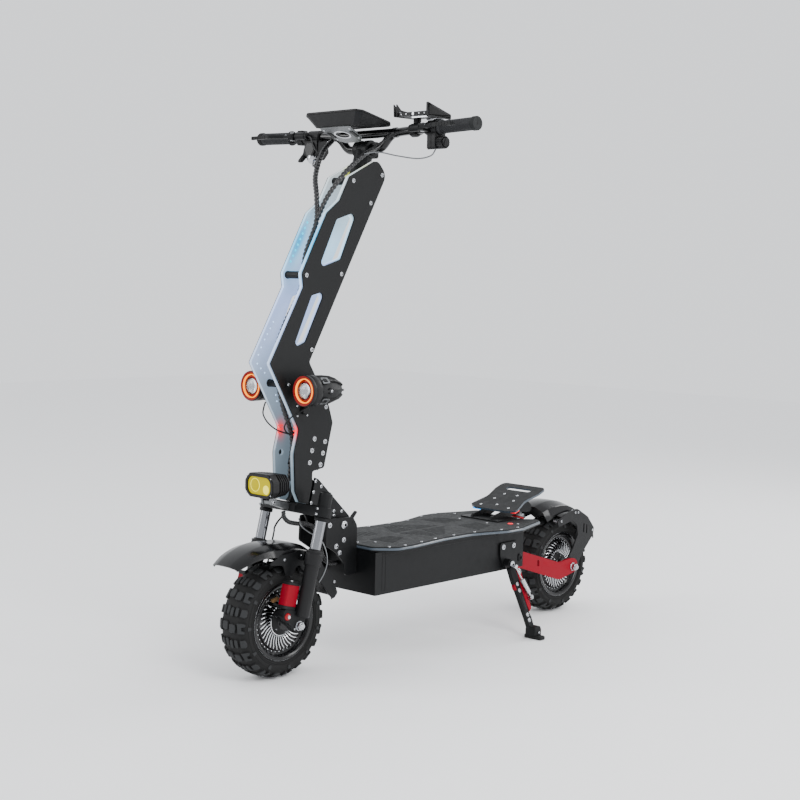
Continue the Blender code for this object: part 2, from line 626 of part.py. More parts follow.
def handlebar():
    """Riser bar with a thick middle, a cross brace and the two grips."""
    half = [Vector((0.036, BAR_CENTRE.y, BAR_CENTRE.z)), Vector((0.062, BAR_CENTRE.y, 1.3395)),
            Vector((0.090, BAR_CENTRE.y, 1.3645)), bar_at(0.122), bar_at(0.250), BAR_END]
    route = [on_side(p, -1) for p in half[::-1]] + half
    dense = smooth_route(route[2:-2], 0.0125)
    centres = route[:2] + dense + route[-2:]
    points = []
    for k, centre in enumerate(centres):
        run = (centres[min(k + 1, len(centres) - 1)] - centres[max(k - 1, 0)]).normalized()
        across = AXIS_Y - run * run.dot(AXIS_Y)
        across.normalize()
        up = run.cross(across)
        points += [centre + BAR_R * (across * p[0] + up * p[1]) for p in circle(0, 0, 1, 16)]
    bar = piece("handlebar", mesh_from(points, ring_faces(len(centres), 16)), GLOSS, "steering")
    join(bar, rod_x(BAR_CENTRE, -0.0330, 0.0330, 0.0145, 18))
    join(bar, rod(on_side(bar_at(0.118), -1), bar_at(0.118), BAR_R, 14))
    for side, sign in SIDES:
        start = on_side(bar_at(0.268), sign)
        along = (on_side(BAR_END, sign) - start).normalized()
        length = (on_side(BAR_END, sign) - start).length + 0.006
        sleeve = ((0.0195, 0), (0.0195, 0.006), (GRIP_R, 0.009), (GRIP_R, length - 0.014),
                  (0.0175, length - 0.010), (0.0175, length - 0.002), (0.0160, length))
        grip = piece("grip_" + side, turned_solid(sleeve, start, along, 16), RUBBER, "steering")
        cut(grip, rod(start - along * 0.01, start + along * (length - 0.0055), BAR_R + GAP, 20))


def brake_lever(side, sign, perch_x):
    """A brake lever blade that turns on an upright pin ahead of the bar."""
    pin = on_side(bar_at(perch_x), sign) + Vector((0, -0.034, 0))
    blade = rounded([(-0.008, 0.006, 0.004), (-0.008, -0.008, 0.005), (0.020, -0.014, 0.02),
                     (0.060, -0.034, 0.03), (0.120, -0.034, 0.003), (0.128, -0.030, 0.003),
                     (0.120, -0.026, 0.003), (0.062, -0.026, 0.03), (0.026, -0.004, 0.02), (0.010, 0.006, 0.004)])
    outline = [Vector((pin.x + sign * p.x, pin.y + p.y)) for p in blade]
    name = "brake_lever_" + side
    lever = piece(name, prism_z(outline, pin.z - 0.0045, pin.z + 0.0045), BLACK, name + "_hinge")
    cut(lever, rod(pin - AXIS_Z * 0.02, pin + AXIS_Z * 0.02, 0.0033, 12))


def perch(sign, perch_x):
    """The lever's clamp: a forked lug ahead of the bar, and the upright pin through it."""
    pin = on_side(bar_at(perch_x), sign) + Vector((0, -0.034, 0))
    clamp = bar_tube(perch_x - 0.014, perch_x + 0.014, 0.0180, sign)
    parts = [clamp]
    for low in (-0.0095, 0.0048):
        near, far = sorted((pin.x - 0.009, pin.x + 0.009))
        parts.append(box((near, pin.y - 0.007, pin.z + low), (far, pin.y + 0.026, pin.z + low + 0.0047)))
    parts.append(rod(pin - AXIS_Z * 0.0090, pin + AXIS_Z * 0.0090, 0.0030, 12))
    return parts


def controls():
    """Left switch pod, right throttle pod, their moving parts and the brake levers."""
    perch_x = 0.236
    left = piece("switch_pod_left", bar_tube(0.2515, 0.2665, 0.0215, 1, 18), PLASTIC, "steering")
    join(left, *perch(1, perch_x))
    middle = bar_at(0.259)
    pod = rounded([(middle.y - 0.020, middle.z - 0.055, 0.006), (middle.y + 0.016, middle.z - 0.050, 0.010),
                   (middle.y + 0.020, middle.z - 0.010, 0.006), (middle.y - 0.020, middle.z - 0.010, 0.006)])
    join(left, prism_x(pod, 0.2400, 0.2662))
    wing = rounded([(middle.y - 0.0185, middle.z - 0.0535, 0.005), (middle.y + 0.0140, middle.z - 0.0490, 0.009),
                    (middle.y + 0.0160, middle.z - 0.0235, 0.003), (middle.y - 0.0185, middle.z - 0.0235, 0.003)])
    join(left, prism_x(wing, 0.2560, 0.2880))
    cut(left, bar_tube(0.20, 0.30, BAR_R + GAP, 1))
    button = Vector((0.2580, middle.y + 0.0100, middle.z - 0.034))
    cut(left, rod(button, button + AXIS_Y * 0.02, 0.0053, 16))
    piece("horn_button", rod(button + AXIS_Y * 0.0030, button + AXIS_Y * 0.0125, 0.0048, 16), RED,
          "horn_button_slide")

    right = piece("throttle_pod_right", bar_tube(0.160, 0.200, 0.0180, -1, 18), PLASTIC, "steering")
    join(right, *perch(-1, perch_x))
    join(right, bar_tube(0.190, 0.230, 0.0145, -1))
    place = bar_at(0.180)
    pod = rounded([(place.y - 0.022, place.z - 0.052, 0.010), (place.y + 0.006, place.z - 0.062, 0.006),
                   (place.y + 0.024, place.z - 0.040, 0.006), (place.y + 0.018, place.z - 0.008, 0.004),
                   (place.y - 0.022, place.z - 0.008, 0.004)])
    join(right, prism_x(pod, -0.2030, -0.1550))
    cut(right, bar_tube(0.14, 0.30, BAR_R + GAP, -1))
    pivot = Vector((-0.2030, place.y - 0.006, place.z - 0.034))
    join(right, rod_x(pivot, -0.2150, -0.2010, 0.0032, 12))
    paddle = rounded([(pivot.y - 0.007, pivot.z + 0.007, 0.006), (pivot.y + 0.007, pivot.z + 0.007, 0.006),
                      (pivot.y + 0.006, pivot.z - 0.008, 0.006), (pivot.y - 0.022, pivot.z - 0.034, 0.004),
                      (pivot.y - 0.030, pivot.z - 0.030, 0.004), (pivot.y - 0.010, pivot.z - 0.008, 0.010)])
    trigger = piece("throttle_trigger", prism_x(paddle, -0.2145, -0.2035), BLACK, "throttle_hinge")
    cut(trigger, rod_x(pivot, -0.23, -0.19, 0.0036, 12))
    for side, sign in SIDES:
        brake_lever(side, sign, perch_x)


def dashboard():
    """The display pod over the cross brace, narrower at its top."""
    low = [(-0.104, -0.386), (-0.088, -0.398), (0.088, -0.398), (0.104, -0.386), (0.104, -0.288),
           (0.092, -0.274), (-0.092, -0.274), (-0.104, -0.288)]
    base = bar_at(0.118).z + BAR_R + GAP
    points = [Vector((x, y, base)) for x, y in low]
    points += [Vector((x, y, base + 0.008)) for x, y in low]
    points += [Vector((x * 0.76, -0.336 + (y + 0.336) * 0.78, base + 0.038)) for x, y in low]
    piece("dashboard", mesh_from(points, ring_faces(3, 8)), PLASTIC, "steering")


def phone_holder():
    """Phone clamp on the left of the bar, with a sprung outer jaw."""
    place = bar_at(0.200)
    top = place.z + 0.030
    back = place.y - 0.045
    front = place.y + 0.032
    holder = piece("phone_holder", box((0.160, back, top), (0.2600, front, top + 0.009)), PLASTIC, "steering")
    claw = [(0.1605, top + 0.001), (0.1605, top + 0.009), (0.1540, top + 0.030), (0.1480, top + 0.030),
            (0.1500, top + 0.001)]
    points = [Vector((x, y, z)) for y in (back + 0.008, front - 0.008) for x, z in claw]
    join(holder, mesh_from(points, ring_faces(2, len(claw))))
    join(holder, bar_tube(0.170, 0.186, 0.0170, 1))
    join(holder, box((0.170, place.y - 0.010, top - 0.015), (0.186, place.y + 0.010, top + 0.003)))
    cut(holder, bar_tube(0.150, 0.210, BAR_R + GAP, 1))
    jaw = piece("phone_jaw", box((0.2606, back - 0.006, top - 0.0060), (0.2666, front + 0.004, top + 0.030)),
                PLASTIC, "phone_jaw_slide")
    join(jaw, box((0.2000, place.y - 0.012, top - 0.0060), (0.2640, place.y + 0.012, top - GAP)))


# ---------------------------------------------------------------- lamps
def lamps():
    """The yellow headlamp on the crown and the two round lamps beside the stem."""
    pivot = HEADLAMP_PIVOT
    front_y = -0.622
    face = rounded([(0.034, 0.4560, 0.004), (0.052, 0.4720, 0.006), (0.052, 0.4980, 0.006), (0.036, 0.5160, 0.006),
                    (-0.036, 0.5160, 0.006), (-0.052, 0.4980, 0.006), (-0.052, 0.4720, 0.006),
                    (-0.034, 0.4560, 0.004)], 2)
    rings = ((front_y, 1.0), (-0.600, 1.0), (-0.565, 0.86), (-0.556, 0.80))
    points = [Vector((p.x * k, y, 0.486 + (p.y - 0.486) * k)) for y, k in rings for p in face]
    lamp = piece("headlamp", mesh_from(points, ring_faces(len(rings), len(face))), PLASTIC, "headlamp_tilt")
    ear = rounded([(pivot.y - 0.009, pivot.z - 0.008, 0.006), (pivot.y - 0.010, 0.462, 0),
                   (pivot.y + 0.012, 0.464, 0), (pivot.y + 0.008, pivot.z - 0.008, 0.006)])
    join(lamp, prism_x(ear, 0.0125, 0.0185), prism_x(ear, -0.0185, -0.0125))

    middle_z = 0.725
    half = ((0.0345, 0.0), (0.0385, 0.003), (0.0385, 0.032), (0.0350, 0.036), (0.0350, 0.080),
            (0.0290, 0.104), (0.0200, 0.122))
    for side, sign in SIDES:
        name = "side_lamp_" + side
        start = Vector((sign * 0.0975, -0.569, middle_z))
        lamp = piece(name, turned_solid(half, start, AXIS_Y, 20), PLASTIC, name + "_tilt")
        join(lamp, rod_x(LAMP_AXIS, sign * 0.0455, sign * 0.0900, 0.0140))
        cut(lamp, rod_x(LAMP_AXIS, sign * 0.0400, sign * 0.0565, 0.0088))


# ---------------------------------------------------------------- rear end
def swing_arm():
    """The red swing arm: two cranked blades on a pivot tube, tied by the shock's cross tube."""
    blade = rounded([(0.264, 0.2390, 0.020), (0.502, 0.1660, 0.030), (0.560, 0.1715, 0.012),
                     (0.590, 0.1680, 0.022), (0.5985, 0.1320, 0.020), (0.505, 0.1130, 0.040),
                     (0.254, 0.1930, 0.020)])
    slot = rounded([(0.3930, 0.1690, 0.0045), (0.4030, 0.1660, 0.0045), (0.4030, 0.1860, 0.0045),
                    (0.3930, 0.1890, 0.0045)])
    inner, outer = 0.0855, 0.0935
    arm = piece("swing_arm", prism_x(blade, inner, outer), RED, "swing_arm_hinge")
    join(arm, prism_x(blade, -outer, -inner))
    join(arm, rod_x(ARM_PIVOT, -0.1150, 0.1150, 0.0150, 16), rod_x(SHOCK_FOOT, -0.0900, 0.0900, 0.0080, 18))
    cut(arm, rod_x(ARM_PIVOT, -0.13, 0.13, 0.0073), rod_x(REAR_AXLE, -0.13, 0.13, AXLE_R + GAP, 18))
    cut(arm, prism_x(slot, -0.10, 0.10))
    axle("rear_axle", REAR_AXLE, 0.0938, 0.1080, "swing_arm_hinge")


def rear_fender():
    """The rear mudguard and its side plates, which hang on the axle."""
    def ridge(part):
        return 0.1785 + 0.0435 * max(0.55 - part, 0) / 0.55 - 0.0030 * max(0.8 - part, 0)

    def half_width(part):
        return 0.062

    def drop(part):
        return 0.014 + 0.042 * max(0.55 - part, 0) / 0.55

    shell = fender_shell(REAR_AXLE, radians(59), radians(156.5), ridge, half_width, drop)
    guard = piece("rear_fender", shell, GLOSS, "swing_arm_hinge")
    plate = rounded([(0.552, 0.156, 0.008), (0.586, 0.196, 0.020), (0.610, 0.236, 0.012), (0.604, 0.268, 0.015),
                     (0.578, 0.283, 0.02), (0.512, 0.270, 0.006), (0.504, 0.288, 0.008), (0.540, 0.306, 0.03),
                     (0.604, 0.318, 0.02), (0.660, 0.288, 0.02), (0.694, 0.250, 0.006), (0.690, 0.228, 0.008),
                     (0.650, 0.190, 0.02), (0.600, 0.128, 0.02), (0.568, 0.122, 0.012), (0.552, 0.132, 0.01)])
    for sign in (1, -1):
        low, high = sorted((sign * 0.0765, sign * 0.0805))
        join(guard, prism_x(plate, low, high))
        for y, z in ((0.520, 0.2860), (0.601, 0.3060)):
            join(guard, rod_x((0, y, z), sign * 0.0560, sign * 0.0785, 0.0070, 12))
    cut(guard, rod_x(REAR_AXLE, -0.09, 0.09, AXLE_R + GAP, 18))


def shock():
    """Coil-over shock between the footrest's stand and the swing arm's cross tube."""
    run = (SHOCK_TOP - SHOCK_FOOT).normalized()
    length = (SHOCK_TOP - SHOCK_FOOT).length
    barrel = ((0.0090, -0.096), (0.0130, -0.092), (0.0130, -0.030), (0.0240, -0.028), (0.0240, -0.023),
              (0.0110, -0.021), (0.0090, -0.004))
    body = piece("shock_body", turned_solid(barrel, SHOCK_TOP, run, 16), CHROME, "shock_hinge")
    join(body, rod_x(SHOCK_TOP, -0.0110, 0.0110, 0.0105, 18))
    cut(body, rod_x(SHOCK_TOP, -0.03, 0.03, 0.0054, 14))
    cut(body, rod(SHOCK_TOP - run * 0.110, SHOCK_TOP - run * 0.060, 0.0048, 14))
    slider = ((0.0100, 0.004), (0.0100, 0.014), (0.0240, 0.016), (0.0240, 0.021), (0.0090, 0.023),
              (0.0045, 0.026), (0.0045, length - 0.085))
    stem_rod = piece("shock_rod", turned_solid(slider, SHOCK_FOOT, run, 16), CHROME, "shock_slide")
    join(stem_rod, rod_x(SHOCK_FOOT, -0.0120, 0.0120, 0.0125, 18))
    cut(stem_rod, rod_x(SHOCK_FOOT, -0.03, 0.03, 0.0088, 18))
    coil = ((0.0180, 0.0234), (0.0235, 0.0234), (0.0235, length - 0.0304), (0.0180, length - 0.0304))
    piece("shock_spring", turned(coil, SHOCK_FOOT, run, 18), RED, "shock_slide")


def kickstand():
    """The side stand: a bar from its pivot out and down to a flat foot."""
    foot = Vector((0.208, 0.238, 0))
    top = Vector((0.1370, KICK_PIVOT.y, KICK_PIVOT.z))
    hub = piece("kickstand_leg", rod_x(KICK_PIVOT, 0.1264, 0.1460, 0.0130, 20), BLACK, "kickstand_hinge")
    join(hub, rod(top + Vector((0.002, 0.001, -0.006)), foot + Vector((-0.006, -0.001, 0.012)), 0.0090, 14))
    pad = rounded([(0.180, 0.225, 0.006), (0.240, 0.228, 0.006), (0.240, 0.252, 0.006), (0.180, 0.249, 0.006)])
    join(hub, prism_z(pad, 0, 0.010))
    cut(hub, rod_x(KICK_PIVOT, 0.12, 0.16, 0.0068, 20))


# ---------------------------------------------------------------- cables
def cables():
    """Sleeved cable bundles: from the bar down between the panels, and on to the deck."""
    trunk = [(-0.095, -0.300, 1.360), (-0.084, -0.345, 1.325), (-0.055, -0.395, 1.262), (-0.018, -0.425, 1.205),
             (0.000, -0.442, 1.140), (0.000, -0.476, 1.060), (0.000, -0.492, 0.970), (0.000, -0.545, 0.880),
             (0.000, -0.572, 0.800), (0.000, -0.548, 0.690), (0.000, -0.512, 0.600), (0.000, -0.514, 0.540),
             (0.000, -0.518, 0.490)]
    branch = [(0.062, -0.297, 1.335), (0.062, -0.345, 1.310), (0.044, -0.392, 1.262), (0.018, -0.422, 1.205),
              (0.002, -0.440, 1.150), (0.000, -0.448, 1.128)]
    loom = piece("bar_harness", cord_mesh(trunk, 0.0062), RUBBER, "steering")
    join(loom, cord_mesh(branch, 0.0058))
    lower = [(0.000, -0.538, 0.414), (0.000, -0.535, 0.399), (0.002, -0.521, 0.386), (0.004, -0.494, 0.379),
             (0.004, -0.462, 0.374), (0.002, -0.432, 0.360), (0.000, -0.414, 0.328), (0.000, -0.404, 0.296),
             (0.000, -0.390, 0.273), (0.000, -0.371, 0.262), (0.000, -0.3492, 0.260)]
    attach(cord("front_harness", lower, 0.0060, RUBBER), "fold_hinge")


# ---------------------------------------------------------------- the whole scooter
def joints():
    """An empty on the axis of every joint."""
    lever = bar_at(0.236) + Vector((0, -0.034, 0))
    throttle = bar_at(0.180) + Vector((0, -0.006, -0.034))
    for name, place in (("fold_hinge", FOLD_PIVOT), ("fold_lever_hinge", LEVER_PIVOT), ("steering", FRONT_AXLE),
                        ("fork_slide", FRONT_AXLE), ("front_wheel_spin", FRONT_AXLE),
                        ("swing_arm_hinge", ARM_PIVOT), ("rear_wheel_spin", REAR_AXLE),
                        ("shock_hinge", SHOCK_TOP), ("shock_slide", SHOCK_FOOT),
                        ("kickstand_hinge", KICK_PIVOT), ("headlamp_tilt", HEADLAMP_PIVOT),
                        ("side_lamp_left_tilt", LAMP_AXIS), ("side_lamp_right_tilt", LAMP_AXIS),
                        ("brake_lever_left_hinge", on_side(lever, 1)),
                        ("brake_lever_right_hinge", on_side(lever, -1)),
                        ("throttle_hinge", on_side(throttle, -1)), ("horn_button_slide", bar_at(0.258)),
                        ("phone_jaw_slide", bar_at(0.264))):
        joint_empty(name, place)


joints()
chassis()
neck()
fold_lever()
fork()
front_fender()
stem()
handlebar()
controls()
dashboard()
phone_holder()
lamps()
tyre("front_tyre", FRONT_AXLE, "front_wheel_spin")
hub_motor("front_hub_motor", FRONT_AXLE, "front_wheel_spin")
brake_disc("front_brake_disc", FRONT_AXLE, "front_wheel_spin")
swing_arm()
rear_fender()
tyre("rear_tyre", REAR_AXLE, "rear_wheel_spin")
hub_motor("rear_hub_motor", REAR_AXLE, "rear_wheel_spin")
brake_disc("rear_brake_disc", REAR_AXLE, "rear_wheel_spin")
shock()
kickstand()
cables()
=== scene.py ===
import bpy
import bmesh
import json
from math import cos, hypot, pi, radians, sin
from mathutils import Matrix, Vector
from mathutils.geometry import tessellate_polygon


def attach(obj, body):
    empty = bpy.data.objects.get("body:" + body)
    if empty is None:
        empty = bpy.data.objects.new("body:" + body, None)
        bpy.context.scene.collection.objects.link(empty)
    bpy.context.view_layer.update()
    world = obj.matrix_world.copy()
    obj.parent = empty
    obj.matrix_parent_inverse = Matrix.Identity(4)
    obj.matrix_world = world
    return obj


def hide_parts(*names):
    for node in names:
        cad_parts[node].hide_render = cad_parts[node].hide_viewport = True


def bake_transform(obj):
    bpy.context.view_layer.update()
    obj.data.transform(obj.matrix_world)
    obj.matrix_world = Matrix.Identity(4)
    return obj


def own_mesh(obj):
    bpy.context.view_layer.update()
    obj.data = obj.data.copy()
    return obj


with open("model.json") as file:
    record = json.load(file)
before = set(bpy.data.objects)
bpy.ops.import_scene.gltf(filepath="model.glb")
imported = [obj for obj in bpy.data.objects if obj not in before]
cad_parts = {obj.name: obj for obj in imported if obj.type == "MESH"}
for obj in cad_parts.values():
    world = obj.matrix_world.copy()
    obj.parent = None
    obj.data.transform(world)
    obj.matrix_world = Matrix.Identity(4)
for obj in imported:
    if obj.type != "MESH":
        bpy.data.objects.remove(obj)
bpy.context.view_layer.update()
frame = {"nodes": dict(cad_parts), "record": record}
JOINT = {j["name"]: j for j in frame["record"]["behaviour"]["joints"]}


def pivot(joint):
    """Where a joint of the frame is, in metres."""
    return Vector(JOINT[joint]["pos_m"])


X, Y, Z = Vector((1, 0, 0)), Vector((0, 1, 0)), Vector((0, 0, 1))
SIDES = (("left", 1), ("right", -1))
FRONT, REAR = pivot("front_wheel_spin"), pivot("rear_wheel_spin")
FOLD, LAMP = pivot("fold_hinge"), pivot("side_lamp_left_tilt")
RAKE = radians(14.4)
STEER = Matrix.Translation(FRONT) @ Matrix.Rotation(-RAKE, 4, "X")
UP = (STEER.to_3x3() @ Z).normalized()

# ------------------------------------------------------------------ camera
cam_data = bpy.data.cameras.new("camera")
cam = bpy.data.objects.new("camera", cam_data)
bpy.context.scene.collection.objects.link(cam)
CAMERA_PLACE, CAMERA_LENS = (2.667, -2.983, 0.993), 65.2
AZIMUTH, DOWN, ROLL = radians(42.94), radians(4.62), radians(1.3)
back = Vector((sin(AZIMUTH) * cos(DOWN), -cos(AZIMUTH) * cos(DOWN), sin(DOWN)))
right = (-back).cross(Z).normalized()
above = right.cross(-back)
turned_right = right * cos(ROLL) + above * sin(ROLL)
turned_above = above * cos(ROLL) - right * sin(ROLL)
cam.matrix_world = Matrix.Translation(CAMERA_PLACE) @ Matrix((turned_right, turned_above,
    back)).transposed().to_4x4()
cam_data.lens = CAMERA_LENS
bpy.context.scene.camera = cam


# ------------------------------------------------------------------ materials
def link(tree, a, b):
    """Join an output socket to an input socket."""
    tree.links.new(a, b)


def node(tree, kind, **values):
    """A shader node with its inputs and settings."""
    made = tree.nodes.new("ShaderNode" + kind)
    for key, value in values.items():
        if key in made.inputs:
            made.inputs[key].default_value = value
        else:
            setattr(made, key, value)
    return made


def material(name, colour, rough, metal=0.0, grain=400.0, bump=0.02, vary=0.12, tint=0.25, emit=None,
        power=0.0, clear=0.0, stretch=(1, 1, 1), shine=0.5):
    """A finish with grain in its colour, roughness and surface, at a real scale (grain is per metre)."""
    made = bpy.data.materials.new(name)
    made.use_nodes = True
    tree = made.node_tree
    shader = tree.nodes["Principled BSDF"]
    place = node(tree, "TexCoord")
    scale = node(tree, "Mapping")
    scale.inputs["Scale"].default_value = stretch
    link(tree, place.outputs["Object"], scale.inputs["Vector"])
    fine = node(tree, "TexNoise", Scale=grain, Detail=4.0, Roughness=0.6)
    broad = node(tree, "TexNoise", Scale=grain * 0.03 + 6, Detail=5.0, Roughness=0.65)
    for texture in (fine, broad):
        link(tree, scale.outputs["Vector"], texture.inputs["Vector"])
    shade = node(tree, "MapRange", **{"To Min": 1 - tint, "To Max": 1 + tint})
    link(tree, broad.outputs["Fac"], shade.inputs["Value"])
    tinted = node(tree, "VectorMath", operation="SCALE")
    tinted.inputs[0].default_value = colour
    link(tree, shade.outputs["Result"], tinted.inputs["Scale"])
    link(tree, tinted.outputs["Vector"], shader.inputs["Base Color"])
    gloss = node(tree, "MapRange", **{"From Min": 0.3, "From Max": 0.7, "To Min": max(rough - vary, 0.03),
        "To Max": min(rough + vary, 1.0)})
    link(tree, broad.outputs["Fac"], gloss.inputs["Value"])
    link(tree, gloss.outputs["Result"], shader.inputs["Roughness"])
    relief = node(tree, "Bump", Strength=min(bump * 10, 1.0), Distance=0.0004)
    link(tree, fine.outputs["Fac"], relief.inputs["Height"])
    link(tree, relief.outputs["Normal"], shader.inputs["Normal"])
    shader.inputs["Metallic"].default_value = metal
    shader.inputs["Specular IOR Level"].default_value = shine
    shader.inputs["Transmission Weight"].default_value = clear
    if emit:
        shader.inputs["Emission Color"].default_value = (*emit, 1)
        shader.inputs["Emission Strength"].default_value = power
    return made


BLACK = material("black_anodised", (0.0045, 0.0048, 0.0052), 0.44, 0.0, 1500, 0.012, 0.08, shine=0.16)
POWDER = material("black_powder_coat", (0.006, 0.006, 0.0065), 0.5, 0.0, 2200, 0.05, 0.06, shine=0.22)
GLOSS = material("gloss_black", (0.003, 0.003, 0.0034), 0.16, 0.0, 600, 0.004, 0.05, shine=0.35)
SHELL = material("gloss_mudguard", (0.003, 0.003, 0.0034), 0.17, 0.0, 500, 0.006, 0.06, shine=0.3)
PLASTIC = material("black_plastic", (0.006, 0.006, 0.0065), 0.46, 0.0, 2600, 0.05, 0.08, shine=0.22)
RUBBER = material("black_rubber", (0.009, 0.009, 0.009), 0.72, 0.0, 900, 0.05, 0.1, shine=0.2)
GRIP = material("grip_rubber", (0.014, 0.0145, 0.016), 0.62, 0.0, 1200, 0.06, 0.1, shine=0.25)
TYRE = material("tyre_rubber", (0.0095, 0.0095, 0.0095), 0.74, 0.0, 700, 0.05, 0.1, 0.35, shine=0.2)
TREAD = material("tread_rubber", (0.026, 0.027, 0.028), 0.8, 0.0, 500, 0.07, 0.1, 0.35, shine=0.2)
CHROME = material("chrome", (0.5, 0.51, 0.53), 0.12, 1.0, 300, 0.004, 0.04, 0.05)
TUBE = material("hard_chrome_tube", (0.22, 0.225, 0.24), 0.16, 1.0, 300, 0.004, 0.05, 0.12,
    stretch=(8, 8, 0.6))
STEEL = material("bright_steel", (0.46, 0.47, 0.49), 0.26, 1.0, 500, 0.02, 0.08, 0.1)
DISC = material("brushed_disc", (0.52, 0.53, 0.55), 0.3, 1.0, 350, 0.05, 0.1, 0.12)
FIN = material("machined_fin", (0.78, 0.79, 0.81), 0.2, 1.0, 800, 0.01, 0.08, 0.08)
ALLOY = material("cast_alloy", (0.17, 0.175, 0.18), 0.42, 1.0, 900, 0.05, 0.1, 0.15)
RED = material("red_anodised", (0.215, 0.001, 0.01), 0.46, 0.0, 1300, 0.012, 0.08, 0.12, shine=0.1)
RED_GLOSS = material("red_gloss", (0.26, 0.001, 0.005), 0.26, 0.0, 700, 0.006, 0.05, 0.1, shine=0.3)
BRONZE = material("bronze_pad", (0.3, 0.17, 0.075), 0.45, 0.8, 900, 0.03, 0.1)
MAT = material("deck_grip_mat", (0.0095, 0.0105, 0.011), 0.66, 0.0, 1500, 0.1, 0.1, 0.2, shine=0.25)
CELL = material("battery_wrap", (0.05, 0.12, 0.32), 0.42, 0.0, 900, 0.02, 0.08)
GLASS = material("lamp_glass", (0.95, 0.96, 0.98), 0.05, 0.0, 200, 0.0, 0.02, 0.02, clear=1.0)
BOWL = material("lamp_bowl", (0.42, 0.41, 0.42), 0.12, 1.0, 300, 0.01, 0.05, 0.06)
RING = material("glowing_ring", (0.8, 0.2, 0.0), 0.3, emit=(1.0, 0.3, 0.01), power=2.1, shine=0.2)
HALO = material("red_halo", (0.12, 0.001, 0.001), 0.4, emit=(1.0, 0.002, 0.001), power=0.13, shine=0.15)
YELLOW = material("yellow_lens", (0.16, 0.13, 0.0), 0.4, 0.0, 300, 0.01, emit=(1.0, 0.84, 0.0), power=0.55,
    shine=0.05)
YELLOW_HOT = material("yellow_bowl", (0.45, 0.4, 0.02), 0.3, emit=(1.0, 0.93, 0.1), power=1.2, shine=0.1)
CYAN = material("cyan_led", (0.0, 0.45, 0.62), 0.3, emit=(0.0, 0.62, 0.95), power=1.2)
LIME = material("lime_led", (0.55, 0.62, 0.02), 0.3, emit=(0.8, 0.9, 0.02), power=1.2)
PALE = material("pale_led", (0.45, 0.62, 0.85), 0.3, emit=(0.45, 0.68, 1.0), power=1.5)
RED_LED = material("red_led", (0.8, 0.0, 0.01), 0.3, emit=(1.0, 0.0, 0.01), power=1.3)
BLUE_LED = material("blue_led", (0.0, 0.25, 0.8), 0.3, emit=(0.0, 0.35, 1.0), power=2.0)
SCREEN = material("dark_screen", (0.003, 0.0035, 0.004), 0.3, 0.0, 200, 0.0, 0.02, shine=0.3)


def ramp(tree, value, stops):
    """A colour ramp with its stops (place, colour)."""
    made = node(tree, "ValToRGB")
    points = made.color_ramp.elements
    while len(points) < len(stops):
        points.new(0.5)
    for point, (place, colour) in zip(points, stops):
        point.position = place
        point.color = (*colour, 1)
    link(tree, value, made.inputs["Fac"])
    return made.outputs["Color"]


def soft_spot(tree, place, centre, along, half, wide):
    """A soft spot on a side panel, stretched along a direction in Y and Z: 1 in its middle and 0 far off."""
    run = Vector((0, *along)).normalized()
    across = run.cross(Vector((1, 0, 0)))
    offset = node(tree, "VectorMath", operation="SUBTRACT")
    link(tree, place, offset.inputs[0])
    offset.inputs[1].default_value = (0, *centre)
    total = None
    for direction, size in ((run, half), (across, wide)):
        part = node(tree, "VectorMath", operation="DOT_PRODUCT")
        link(tree, offset.outputs["Vector"], part.inputs[0])
        part.inputs[1].default_value = direction / size
        square = node(tree, "Math", operation="MULTIPLY_ADD")
        link(tree, part.outputs["Value"], square.inputs[0])
        link(tree, part.outputs["Value"], square.inputs[1])
        square.inputs[2].default_value = 0
        if total:
            link(tree, total, square.inputs[2])
        total = square.outputs["Value"]
    fall = node(tree, "Math", operation="MULTIPLY")
    link(tree, total, fall.inputs[0])
    fall.inputs[1].default_value = -1
    spot = node(tree, "Math", operation="EXPONENT")
    link(tree, fall.outputs["Value"], spot.inputs[0])
    return spot.outputs["Value"]


LIGHT_SPOTS = (   # middle (Y, Z), direction, half length, half width, colour
    ((-0.473, 1.092), (-0.48, -0.88), 0.068, 0.016, (0.0, 0.36, 0.68)),
    ((-0.42, 1.08), (-0.48, -0.88), 0.05, 0.02, (0.32, 0.27, 0.74)),
    ((-0.5265, 0.6195), (0.0, 1.0), 0.02, 0.013, (0.95, 0.03, 0.05)),
    ((-0.303, 1.275), (0.83, 0.55), 0.018, 0.012, (0.62, 0.68, 0.1)))


PANEL_LOW, PANEL_HIGH = 0.43, 1.3


